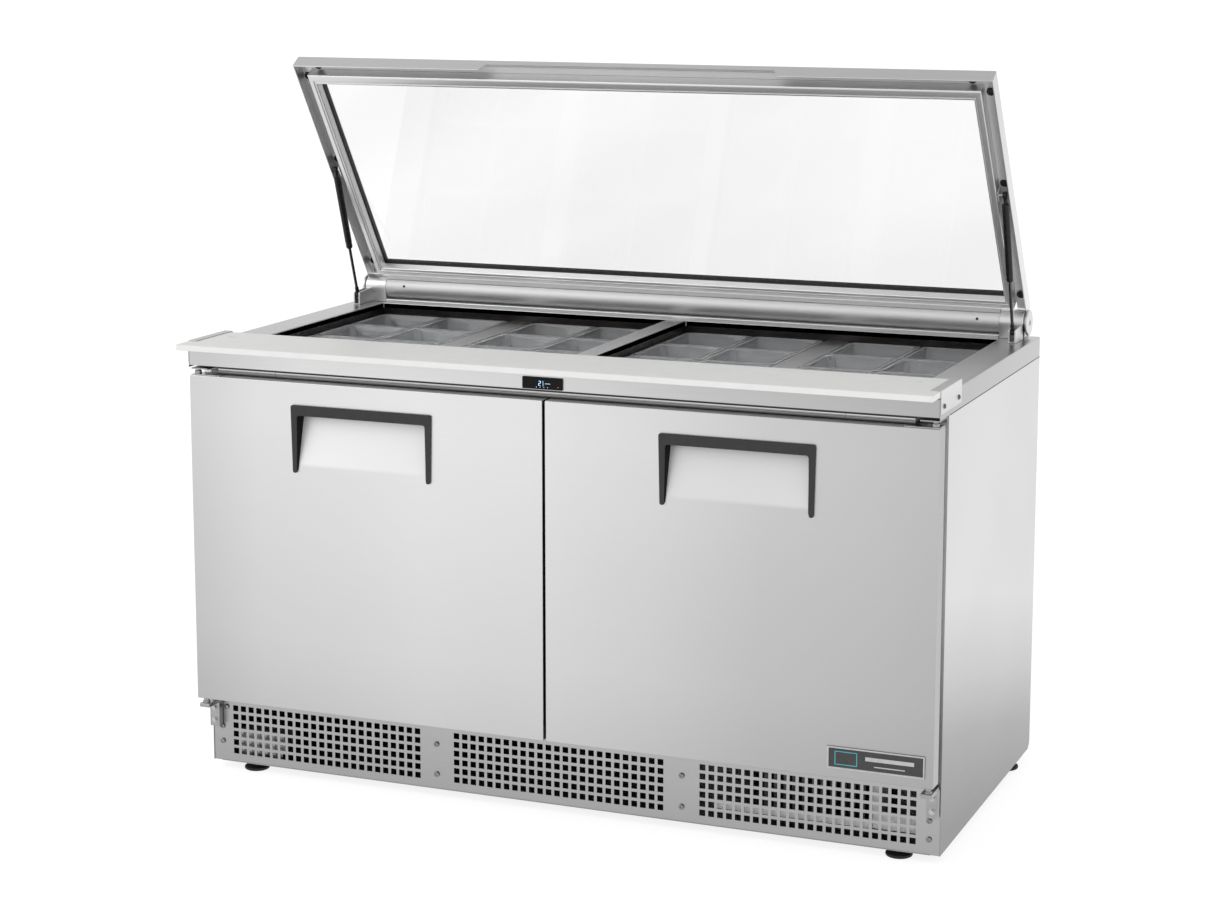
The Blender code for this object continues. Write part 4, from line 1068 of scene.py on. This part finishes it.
def handle_bezel(side, body, face, x0, x1, top, bottom):
    """The U-shaped moulding round a door's pocket, and black walls in the pocket as painted shade."""
    low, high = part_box(f"handle_bezel_{side}")
    mid, half = (low.x + high.x) / 2, (high.x - low.x) / 2
    leg, toe = half - BEZEL_LEG, half - BEZEL_SLOPE - BEZEL_TOE
    corners = [
        (-half + BEZEL_SLOPE, low.z, 0.0042),
        (-half, high.z, 0.0050),
        (half, high.z, 0.0050),
        (half - BEZEL_SLOPE, low.z, 0.0042),
        (toe, low.z, 0.0042),
        (leg, high.z - BEZEL_BAR, 0.0055),
        (-leg, high.z - BEZEL_BAR, 0.0055),
        (-toe, low.z, 0.0042),
    ]
    ring = extruded(curved(corners), lambda u, z: (mid + u, low.y, z), Vector((0, high.y - low.y, 0)))
    piece(f"handle_bezel_{side}_moulding", eased(ring, 0.0012, 3, 1.2), DARK, body, [f"handle_bezel_{side}"])
    # black walls and ceiling inside the pocket: painted shade
    back, ceiling, inset, wall = face + POCKET_DEEP - 0.0012, top - 0.0005, BEZEL_LEG - 0.0012, 0.0016
    wedge = [(face - 0.0010, bottom + 0.004), (back, top - POCKET_BACK)]
    wedge += [(back, ceiling), (face - 0.0010, ceiling)]
    walls = [along_x(wedge, low.x + inset, wall), along_x(wedge, high.x - inset, -wall)]
    walls.append(slab((x0 + 0.0005, face - 0.001, top - 0.0020), (x1 - 0.0005, back, top - 0.0004), 0.0003))
    piece(f"handle_pocket_{side}_walls", together(walls), POCKET_SHADE, body)


def gasket(side, body):
    """A soft seal with a ribbed bellows section, mitred at its corners."""
    low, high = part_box(f"door_gasket_{side}")
    run = high.y - low.y
    section = [(0.0035, 0.0), (0.0105, 0.0), (0.0105, 0.25), (0.0085, 0.36), (0.0115, 0.50), (0.0090, 0.64)]
    section += [(0.0135, 0.78), (0.0130, 0.98), (0.0010, 1.0), (0.0000, 0.80), (0.0045, 0.62), (0.0020, 0.48)]
    section += [(0.0045, 0.34), (0.0035, 0.20)]
    profile = [(inward, run * share) for inward, share in section]
    seal = framed(profile, box_corners(low.x, low.z, high.x, high.z), lambda x, z, h: (x, low.y + h, z))
    piece(f"door_gasket_{side}_seal", seal, RUBBER, body, [f"door_gasket_{side}"])


def badge():
    """A plain plate with a raised rim, a coloured square and two bars, and no mark."""
    low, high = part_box("badge_plate")
    middle = (low.z + high.z) / 2
    plate = along_y(rounded_box(low, high, 0.003), low.y + 0.0012, 0.0013, 0.0004)
    piece("badge_field", plate, BADGE, "door_right", ["badge_plate"])
    profile = [(0.0, 0.0009), (0.0004, 0.0), (0.0032, 0.0), (0.0040, 0.0009), (0.0040, 0.0022), (0.0, 0.0022)]
    rim = framed(profile, box_corners(low.x, low.z, high.x, high.z), lambda x, z, h: (x, low.y + h, z))
    bars = [
        slab((x, low.y + 0.0002, middle + z - tall), (x + long, low.y + 0.0016, middle + z + tall), 0.0008)
        for x, z, long, tall in (
            (low.x + 0.078, 0.0042, 0.098, 0.0042),
            (low.x + 0.096, -0.0100, 0.062, 0.0014),
        )
    ]
    piece("badge_rim", together([rim, *bars]), ZINC, "door_right")
    corners = box_corners(low.x + 0.016, low.z + 0.0085, low.x + 0.062, high.z - 0.0085, 0.5)
    square = framed(profile, corners, lambda x, z, h: (x, low.y + 0.0004 + h * 0.5, z))
    piece("badge_square", square, TEAL, "door_right")


def pin_collar(wide, wide_high, narrow, narrow_low, top, point):
    """A stepped collar round a door's pin."""
    profile = [(0, 0), (wide, 0), (wide, wide_high), (narrow, narrow_low), (narrow, top), (0, top)]
    return shifted(lathed(profile, 24), *point)


def door_hinges():
    pin_x, pin_y, outer = 0.800, -0.366, 0.8110
    for side, sign in SIDES:
        low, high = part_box(f"hinge_bottom_{side}")
        shapes = [
            slab((sign * 0.7885, high.y - 0.0150, 0.0985), (sign * 0.8115, high.y, 0.1560), 0.0012, 3),
            slab((sign * 0.7865, low.y, 0.1525), (sign * 0.8105, high.y - 0.002, 0.1612), 0.0018, 3),
            pin_collar(0.0080, 0.0035, 0.0060, 0.0045, 0.0112, (sign * pin_x, pin_y, 0.1612)),
        ]
        piece(f"hinge_bottom_{side}_bracket", together(shapes), BRACKET, "cabinet", [f"hinge_bottom_{side}"])
        spots = [(sign * pin_x, high.y - 0.0150, z) for z in (0.1400, 0.1130)]
        screws(f"hinge_bottom_{side}_bolts", spots, (0, -1, 0), 0.0048, "cabinet", ZINC, bolt_head)
        low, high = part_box(f"hinge_top_{side}")
        shapes = [
            slab((sign * 0.772, low.y + 0.002, 0.8895), (sign * outer, high.y, 0.8925), 0.0008),
            slab((sign * 0.772, high.y - 0.004, 0.8800), (sign * outer, high.y, 0.8925), 0.0008),
            pin_collar(0.0075, 0.006, 0.0055, 0.0072, 0.0105, (sign * pin_x, pin_y, 0.8792)),
        ]
        piece(f"hinge_top_{side}_bracket", together(shapes), BRACKET, "cabinet", [f"hinge_top_{side}"])


# ================================================================ lid
def channel_profile():
    """Section of the lid's outer channel, with a groove in its floor."""
    width, flange, floor = 0.0270, 0.0030, 0.0307
    corners = [(0.0, LID_UNDER, 0.0012), (flange, LID_UNDER, 0.0012), (flange, floor, 0.0022)]
    corners += [(0.0085, floor, 0), (0.0090, floor - 0.0010, 0)]
    corners += [(0.0105, floor - 0.0010, 0), (0.0110, floor, 0)]
    corners += [(width, floor, 0), (width, LID_TOP, 0), (0.0, LID_TOP, 0.0025)]
    return curved(corners, 3)


def frame_profile(width):
    """Section of the lid's inner frame, from its outer wall to the glass."""
    k = width / 0.0206
    corners = [
        (0.0, LID_TOP, 0),
        (0.0, LID_UNDER, 0.0035),
        (0.0110 * k, LID_UNDER, 0.0015),
        (0.0116 * k, LID_UNDER + 0.0022, 0),
        (0.0134 * k, LID_UNDER + 0.0022, 0),
        (0.0140 * k, LID_UNDER + 0.0006, 0.0012),
        (0.0172 * k, LID_UNDER + 0.0006, 0.0030),
        (0.0206 * k, LID_UNDER + 0.0150, 0.0008),
        (0.0206 * k, LID_TOP, 0),
    ]
    return curved(corners, 4)


def lid_channel():
    """The channel round three sides of the lid, its finger notch, pivot ears and spring brackets."""
    rear = 0.012
    stations = [
        lambda w, h, x=x, f=at_front: lid_point(x * (LID_HALF - w), LID_LENGTH - w if f else rear, h)
        for x, at_front in ((-1, False), (-1, True), (1, True), (1, False))
    ]
    grip, slope = 0.342, 0.014
    under, over = LID_UNDER - 0.006, LID_UNDER + 0.0195
    outline = [(-grip, under, 0), (grip, under, 0), (grip - slope, over, 0.004), (-grip + slope, over, 0.004)]
    notch = extruded(
        curved(outline),
        lambda x, h: lid_point(x, LID_LENGTH + 0.004, h),
        lid_point(0, 0, 0) - lid_point(0, 0.0085, 0),
    )
    channel = [cut(mitred(channel_profile(), stations, False), [notch])]
    for sign in (-1, 1):
        bore, thick, radius = 0.0066, 0.0030, 0.0200
        profile = [(bore, 0), (0.0195, 0), (radius, 0.0005), (radius, 0.0025)]
        profile += [(0.0195, thick), (bore, thick), (bore, 0)]
        ear = lathed(profile, 40)
        channel.append(moved(ear, facing((sign * (LID_HALF - thick), HINGE.y, HINGE.z), (sign, 0, 0))))
        tab = slab((sign * 0.7652, -0.356, 0.0045), (sign * 0.7682, -0.330, 0.0312), 0.0008)
        foot = slab((sign * 0.7652, -0.372, 0.0292), (sign * 0.786, -0.318, 0.0306), 0.0005)
        channel += [moved(tab, LID_FRAME), moved(foot, LID_FRAME)]
    piece("lid_channel_extrusion", together(channel), ALUMINIUM, "lid", ["lid_channel"], 30)


def lid_window():
    """The inner frame, the glass and the seal between them."""
    inner_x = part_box("lid_inner_frame")[1].x
    half, rear, glass_rear, front, glass_front = 0.7435, 0.0310, 0.0548, 0.6157, 0.5875
    width = inner_x - half
    front_k, rear_k = (front - glass_front) / width, (glass_rear - rear) / width
    corners = ((-inner_x, rear, 1, rear_k), (-inner_x, front, 1, -front_k))
    corners += ((inner_x, front, -1, -front_k), (inner_x, rear, -1, rear_k))
    rails = framed(frame_profile(width), corners, lid_point)
    piece("lid_frame_extrusion", rails, ALUMINIUM, "lid", ["lid_inner_frame"], 30)
    profile = [(0.0003, 0.0211, 0), (0.0011, 0.0211, 0.0004), (0.0018, 0.0258, 0), (0.0018, 0.0390, 0)]
    corners = ((-half, glass_rear, 1, 1), (-half, glass_front, 1, -1))
    corners += ((half, glass_front, -1, -1), (half, glass_rear, -1, 1))
    strip = framed(curved([*profile, (0.0003, 0.0395, 0)], 3), corners, lid_point)
    piece("lid_gasket_strip", strip, RUBBER, "lid", ["lid_gasket"])
    edge = 0.0012
    pane = slab(
        (-half + edge, -glass_front + edge, 0.0262), (half - edge, -glass_rear - edge, 0.0320), 0.0003, 1
    )
    piece("lid_glass_pane", moved(pane, LID_FRAME), GLASS, "lid", ["lid_glass"])


def lid_tube():
    """The tube at the lid's rear with its two plugs, and the plugs along the frame."""
    half, wall, bevel = tube_high.x, 0.0025, 0.0008
    bore = BARREL - wall
    profile = [(bore, -half), (BARREL - bevel, -half), (BARREL, -half + bevel), (BARREL, half - bevel)]
    profile += [(BARREL - bevel, half), (bore, half), (bore, -half)]
    tube = moved(lathed(profile, 72), Matrix.Translation(HINGE) @ ALONG_X)
    seam = moved(slab((-half, -0.0310, -0.0060), (half, -0.0262, 0.0055), 0.0012), LID_FRAME)
    piece("lid_tube_extrusion", together([tube, seam]), SATIN, "lid", ["lid_tube"], 30)
    plug = [(0, 0), (0.0028, 0), (0.0030, 0.0006), (0.0018, 0.0009), (0, 0.0002)]
    ahead, up = 0.972, 0.23
    y, z = HINGE.y - BARREL * ahead + 0.0002, HINGE.z + BARREL * up
    plugs = [moved(lathed(plug, 20), facing((sign * 0.6875, y, z), (0, -ahead, up))) for sign in (-1, 1)]
    piece("lid_tube_plugs", together(plugs), PAINT, "lid")

    down = lid_point(0, 0, -1) - lid_point(0, 0, 0)
    spots = [(sign * 0.7765, s) for sign in (-1, 1) for s in (0.054, 0.362, 0.598)]
    spots += [(sign * 0.7420, 0.6275) for sign in (-1, 1)]
    dome = [(0, -0.0005), (0.0086, -0.0005), (0.0092, 0.0012)]
    dome += [(0.0084, 0.0036), (0.0058, 0.0048), (0.0, 0.0044)]
    plugs = [moved(lathed(dome, 24), facing(lid_point(x, s, 0.0305), down)) for x, s in spots]
    piece("lid_plugs", together(plugs), PAINT, "lid")


def hinge_boxes():
    """End housings of the lid's tube, each with an arm that holds a gas spring, and its round cap."""
    for side, sign in SIDES:
        low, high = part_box(f"hinge_box_{side}")
        inner, outer, arm_in, floor = sign * 0.7358, sign * 0.7882, sign * 0.7712, low.z
        around = [math.radians(a) for a in range(-14, 203, 12)]
        arc = [(HINGE.y - BARREL * math.cos(a), HINGE.z + BARREL * math.sin(a)) for a in around]
        housing = [(HINGE.y - 0.0240, floor), *arc, (HINGE.y + 0.0262, floor)]
        body = eased(along_x(housing, inner, outer - inner), 0.0010, 3, 0.9)
        rear = HINGE.y - 0.012
        arm_line = curved([(low.y, floor, 0), (low.y, 0.966, 0.0030), (rear, 0.972, 0), (rear, floor, 0)])
        arm = eased(along_x(arm_line, arm_in, outer - arm_in), 0.0010, 3, 0.9)
        x, y, z = sign * SPRING_X, SPRING_FOOT.y, SPRING_FOOT.z
        slot = cube((x - 0.0052, low.y - 0.01, DECK + 0.0025), (x + 0.0052, HINGE.y - 0.040, 0.99))
        stud = rod((x - 0.0062, y, z), (x + 0.0062, y, z), 0.0027, 16)
        pin = rod((outer - sign * 0.001, HINGE.y, HINGE.z), (sign * 0.7917, HINGE.y, HINGE.z), 0.006, 24)
        shapes = together([body, cut(arm, [slot]), stud, pin])
        piece(f"hinge_box_{side}_housing", shapes, TRIM_STEEL, "cabinet", [f"hinge_box_{side}"], 30)

        low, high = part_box(f"hinge_cap_{side}")
        thick = high.x - low.x
        start, end = inner_outer(low, high, sign)
        cap = [(0, 0), (BARREL - 0.001, 0), (BARREL, 0.001), (BARREL, thick - 0.0015)]
        cap += [(BARREL - 0.0015, thick), (0.0075, thick), (0.0070, thick - 0.001), (0, thick - 0.001)]
        disc = moved(lathed(cap, 48), facing((start, HINGE.y, HINGE.z), (sign, 0, 0)))
        piece(f"hinge_cap_{side}_disc", disc, TRIM_STEEL, "cabinet", [f"hinge_cap_{side}"])
        spots = [(end - sign * 0.001, HINGE.y, HINGE.z)]
        screws(f"hinge_cap_{side}_screw", spots, (sign, 0, 0), 0.0048, "cabinet")
    low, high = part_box("rear_sill")
    profile = [(low.y, low.z, 0), (low.y, high.z, 0.0025), (high.y, high.z, 0.0025), (high.y, low.z, 0)]
    sill = along_x(curved(profile), low.x, high.x - low.x)
    piece("rear_sill_strip", sill, TRIM_STEEL, "cabinet", ["rear_sill"], 30)


def eyelet(bore, radius, half):
    """A ring that turns on a stud."""
    edge, bevel = radius - 0.0006, half - 0.0012
    profile = [(bore, -half), (edge, -half), (radius, -bevel), (radius, bevel), (edge, half), (bore, half)]
    return lathed([*profile, (bore, -half)], 28)


def gas_springs():
    """Each spring's rod with its lower eye, its cylinder with its upper eye, and its stud on the lid."""
    stud = lid_point(0, *SPRING_STUD)
    span = (stud - SPRING_FOOT).length
    along = (stud - SPRING_FOOT).normalized()
    mouth, end = span - 0.197, span - 0.0185
    for side, sign in SIDES:
        low = SPRING_FOOT + Vector((sign * SPRING_X, 0, 0))
        line = facing(low, along)
        neck = [(0, 0.0055), (0.0036, 0.0055), (0.0046, 0.0100)]
        neck += [(0.0046, 0.0175), (0.0034, 0.0200), (0, 0.0200)]
        eye = moved(eyelet(0.0032, 0.0066, 0.0042), facing(low, (1, 0, 0)))
        eye = together([eye, moved(lathed(neck, 18), line)])
        piece(f"strut_rod_{side}_eye", eye, PAINT, f"strut_rod_{side}")
        shaft = [(0, 0.018), (0.0034, 0.018), (0.0034, mouth + 0.011), (0, mouth + 0.011)]
        shaft = moved(lathed(shaft, 18), line)
        piece(f"strut_rod_{side}_shaft", shaft, CHROME, f"strut_rod_{side}", [f"strut_rod_{side}"])
        case = [(0.0, mouth + 0.080), (0.0040, mouth + 0.079), (0.0040, mouth + 0.002), (0.0062, mouth)]
        case += [(0.0074, mouth + 0.0025), (0.0076, mouth + 0.010), (0.0070, mouth + 0.0112)]
        case += [(0.0070, mouth + 0.0128), (0.0078, mouth + 0.0140), (0.0078, end - 0.006)]
        case += [(0.0068, end - 0.0015), (0.0040, end), (0.0036, end + 0.003), (0.0036, span - 0.006)]
        case = moved(lathed([*case, (0.0, span - 0.006)], 28), line)
        head = moved(eyelet(0.0030, 0.0074, 0.0038), facing(low + along * span, (1, 0, 0)))
        cylinder = f"strut_cylinder_{side}"
        piece(f"{cylinder}_case", together([case, head]), PAINT, cylinder, [cylinder])
        ball = [(0, 0), (0.0030, 0), (0.0030, 0.0030), (0.0024, 0.0045), (0.0024, 0.0085), (0, 0.0085)]
        ball = lathed(ball, 18)
        start = stud + Vector((sign * 0.7665, 0, 0))
        piece(f"strut_stud_{side}", moved(ball, facing(start, (sign, 0, 0))), ZINC, "lid")


# ================================================================ inside
def shelves():
    """Wire shelves: close wires from front to back on two cross wires and a frame."""
    inset, corner, spaces = 0.003, 0.02, 34
    for node in [f"shelf_{side}_{level}" for side, _ in SIDES for level in ("lower", "upper")]:
        low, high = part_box(node)
        frame_z, wire_z = low.z + 0.0030, high.z - 0.0014
        x0, x1, y0, y1 = low.x + inset, high.x - inset, low.y + inset, high.y - inset
        loop = curved([(x0, y0, corner), (x1, y0, corner), (x1, y1, corner), (x0, y1, corner)])
        shapes = [pipe([(p.x, p.y, frame_z) for p in [*loop, loop[0]]], 0.0028, 8)]
        shapes += [rod((x0, y, frame_z), (x1, y, frame_z), 0.0026, 8) for y in (y0 + 0.17, y1 - 0.17)]
        for i in range(1, spaces):
            x = x0 + (x1 - x0) * i / spaces
            shapes.append(rod((x, y0 - 0.001, wire_z), (x, y1 + 0.001, wire_z), 0.0014, 6))
        piece(f"{node}_wires", together(shapes), WIRE, "cabinet", [node])


def swept_fan(name, look, blades=5):
    """A fan's hub and its curved blades, riding on the rotor that has its name."""
    low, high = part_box(name)
    centre, radius = (low + high) / 2, (high.x - low.x) / 2
    hub = [(0, -0.008), (radius * 0.27, -0.008), (radius * 0.30, -0.005), (radius * 0.30, 0.006)]
    shapes = [lathed([*hub, (radius * 0.24, 0.008), (0, 0.008)], 28)]
    for k in range(blades):
        blade = bmesh.new()
        rows = []
        for i in range(7):
            r = radius * (0.24 + 0.75 * i / 6)
            sweep = 0.10 * i / 6
            pitch = math.radians(38 - 16 * i / 6)
            half = 0.44 - 0.05 * abs(i - 3)
            row = []
            for j in range(6):
                u = (j / 5 - 0.5) * 2
                angle = 2 * math.pi * k / blades + sweep + u * half
                z = u * min(0.0070, r * half * math.sin(pitch) * 0.4) + 0.0012 * (1 - u * u)
                row.append(blade.verts.new((r * math.cos(angle), r * math.sin(angle), z)))
            rows.append(row)
        for a, b in zip(rows, rows[1:]):
            for j in range(5):
                blade.faces.new((a[j], a[j + 1], b[j + 1], b[j]))
        bmesh.ops.solidify(blade, geom=blade.faces, thickness=0.0012)
        shapes.append(blade)
    fan = moved(together(shapes), Matrix.Translation(centre) @ ALONG_Y)
    piece(f"{name}_blades", fan, look, f"{name}_rotor", [name])


def guard(name, fan, y, radius, look):
    """Rings and spokes in front of a fan."""
    low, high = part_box(fan)
    centre = (low + high) / 2
    centre.y = y
    shapes = []
    for share in (0.35, 0.55, 0.78, 1.0):
        r = radius * share
        shapes.append(pipe([centre + Vector((r * c, 0, r * s)) for c, s in turns(40, 41)], 0.0011, 6))
    for k in range(4):
        a = math.pi / 4 + k * math.pi / 2
        way = Vector((math.cos(a), 0, math.sin(a)))
        shapes.append(rod(centre + way * radius * 0.35, centre + way * radius * 1.08, 0.0014, 6))
    piece(name, together(shapes), look, "cabinet")


def compressor():
    """The compressor's can on its feet, and two copper pipes that lead to the condenser."""
    low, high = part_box("compressor")
    x, y, z = (low.x + high.x) / 2, (low.y + high.y) / 2, low.z
    shell = [(0, 0.1165), (0.022, 0.1155), (0.045, 0.1110), (0.062, 0.1020), (0.072, 0.0880)]
    shell += [(0.0752, 0.0700), (0.0752, 0.0620), (0.0760, 0.0610), (0.0760, 0.0570), (0.0752, 0.0560)]
    shell += [(0.0750, 0.0380), (0.0680, 0.0220), (0.0500, 0.0130), (0, 0.0120)]
    can = shifted(lathed(shell, 48), x, y, z)
    plate = slab((low.x, y - 0.06, z), (high.x, y + 0.06, z + 0.004), 0.0015)
    terminal = slab((x - 0.030, low.y - 0.016, z + 0.040), (x + 0.030, low.y + 0.008, z + 0.085), 0.004, 3)
    mount = [(0, 0), (0.012, 0), (0.010, 0.004), (0.012, 0.010), (0.009, 0.014), (0, 0.014)]
    mounts = [
        shifted(lathed(mount, 20), x + a * 0.080, y + b * 0.046, z) for a in (-1, 1) for b in (-1, 1)
    ]
    piece("compressor_shell", together([can, plate, terminal, *mounts]), PAINT, "cabinet", ["compressor"], 30)
    lines = []
    for offset, far in ((0.020, 0.150), (0.036, 0.128)):
        start = Vector((x + 0.060, y + offset, z + 0.070))
        route = [start, start + Vector((0.020, 0, 0.012)), start + Vector((0.035, -0.04, 0.030))]
        route += [Vector((0.448, -0.06 + offset, far)), Vector((0.452, -0.160 + offset / 2, far))]
        lines.append(pipe(smooth_line(route), 0.0032, 10))
    piece("refrigerant_pipes", together(lines), COPPER, "cabinet", smooth=60)


def machine_room():
    """What shows behind the grille: compressor, the condenser's bends, fans, wiring box and rail."""
    compressor()
    low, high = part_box("condenser")
    ends = []
    for side_x, way in ((low.x, -1), (high.x, 1)):
        for i in range(5):
            bend = [math.pi * k / 8 for k in range(9)]
            mid = low.z + 0.018 + i * 0.0245
            points = [
                (side_x + way * 0.009 * math.sin(a), low.y + 0.018, mid + 0.0060 * math.cos(a)) for a in bend
            ]
            ends.append(pipe(points, 0.0030, 8))
    # black, so the bends sink into the shade behind the grille: painted shade over the copper
    piece("condenser_bends", together(ends), PAINT, "cabinet", smooth=60)
    guard("condenser_fan_guard", "condenser_fan", high.y + 0.002, 0.052, ZINC)
    swept_fan("condenser_fan", PAINT)
    swept_fan("evaporator_fan", DARK)
    guard("evaporator_fan_guard", "evaporator_fan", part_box("evaporator_cover")[0].y - 0.0014, 0.058, WIRE)
    wiring = slab((-0.757, -0.3060, 0.0480), (-0.645, -0.2500, 0.0900), 0.003, 3)
    apron = slab((-0.752, -0.3050, 0.0300), (-0.650, -0.3000, 0.0490), 0.001)
    piece("wiring_box", together([wiring, apron]), GALVANISED, "cabinet")
    rail = slab((0.345, -0.3060, 0.0525), (0.670, -0.3000, 0.0690), 0.001)
    block = slab((0.672, -0.3050, 0.0530), (0.772, -0.2960, 0.0880), 0.002, 3)
    post = slab((0.672, -0.3050, 0.0885), (0.684, -0.3000, 0.1480), 0.001)
    piece("condenser_rail", together([rail, block, post]), DOOR_LINER, "cabinet")


def smooth_line(points, steps=6):
    """Points on a smooth curve through the given ones."""
    full = [points[0], *points, points[-1]]
    line = []
    for a, b, c, d in zip(full, full[1:], full[2:], full[3:]):
        for k in range(steps):
            t = k / steps
            bend = (2 * a - 5 * b + 4 * c - d) * t * t + (3 * b - a - 3 * c + d) * t ** 3
            line.append(0.5 * ((2 * b) + (c - a) * t + bend))
    return [*line, points[-1]]


def carried_over():
    """Better materials for the CAD nodes that show as they are."""
    looks = {
        "back_panel": GALVANISED,
        "insulated_cabinet": LINER,
        "pan_well_left": WELL,
        "pan_well_right": WELL,
        # the base pan in near-black zinc: painted shade behind the grille
        "base_pan": ZINC_IN_SHADE,
        "condenser": FINS,
        "condenser_fan_motor": PAINT,
        "evaporator_cover": SATIN,
        "evaporator_coil": COIL,
    }
    for name, look in looks.items():
        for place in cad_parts[name].material_slots:
            place.material = look
    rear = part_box("back_panel")[1].y
    spots = [(x, rear - 0.0005, z) for x in (-0.78, -0.26, 0.26, 0.78) for z in (0.03, 0.46, 0.88)]
    screws("back_panel_screws", spots, (0, 1, 0), 0.0042, "cabinet")


# ================================================================ room, light and camera
def room():
    """A white floor that is mostly lit from itself, a white studio round it, and two soft lights."""
    floor = bmesh.new()
    bmesh.ops.create_grid(floor, x_segments=1, y_segments=1, size=160.0)
    mesh = meshed(floor, "floor")
    look = Look("floor_paper", "none", Roughness=0.9, Emission_Strength=0.84)
    look.shader.inputs["Emission Color"].default_value = (1, 1, 1, 1)
    look.base(look.greys(look.noise(60, 2.0), (0.3, 0.24), (0.7, 0.26)))
    mesh.materials.append(look.material)
    added("floor", mesh)

    scene.view_settings.view_transform = "Standard"
    scene.world = bpy.data.worlds.new("studio")
    scene.world.use_nodes = True
    tree = scene.world.node_tree
    place = tree.nodes.new("ShaderNodeTexCoord")
    parts = tree.nodes.new("ShaderNodeSeparateXYZ")
    ramp = tree.nodes.new("ShaderNodeValToRGB")
    stops = ((0.0, 1.05), (0.30, 1.0), (0.60, 0.84), (1.0, 0.56))
    set_stops(ramp, [(at, grey(value)) for at, value in stops])
    tree.links.new(place.outputs["Generated"], parts.inputs[0])
    tree.links.new(parts.outputs["Z"], ramp.inputs["Fac"])
    tree.links.new(ramp.outputs["Color"], tree.nodes["Background"].inputs["Color"])

    for name, at, target, size, power in (
        ("key", (-3.4, -3.4, 4.2), (0, 0, 0.7), 3.0, 55),
        ("fill", (5.2, -1.0, 2.4), (0.8, 0, 0.6), 3.6, 10),
    ):
        light = bpy.data.lights.new(name, "AREA")
        light.size = size
        light.energy = power
        lamp = added(name, light)
        lamp.location = at
        lamp.rotation_euler = (Vector(target) - Vector(at)).to_track_quat("-Z", "Y").to_euler()


def camera():
    """The photo's viewing angle, with its upright verticals."""
    lens = bpy.data.cameras.new("camera")
    lens.lens = 77.84
    lens.sensor_width = 36.0
    lens.shift_y = -0.08
    eye = added("camera", lens)
    eye.location = (2.0638, -5.0964, 1.8025)
    eye.rotation_euler = (math.pi / 2 - 0.1618, 0.0, 0.3878)
    scene.camera = eye


camera()
room()
carried_over()
side_panels()
worktop()
fascia()
controller()
grille()
feet()
adapter_bars()
food_pans()
board()
board_rails()
doors()
badge()
door_hinges()
lid_channel()
lid_window()
lid_tube()
hinge_boxes()
gas_springs()
shelves()
machine_room()
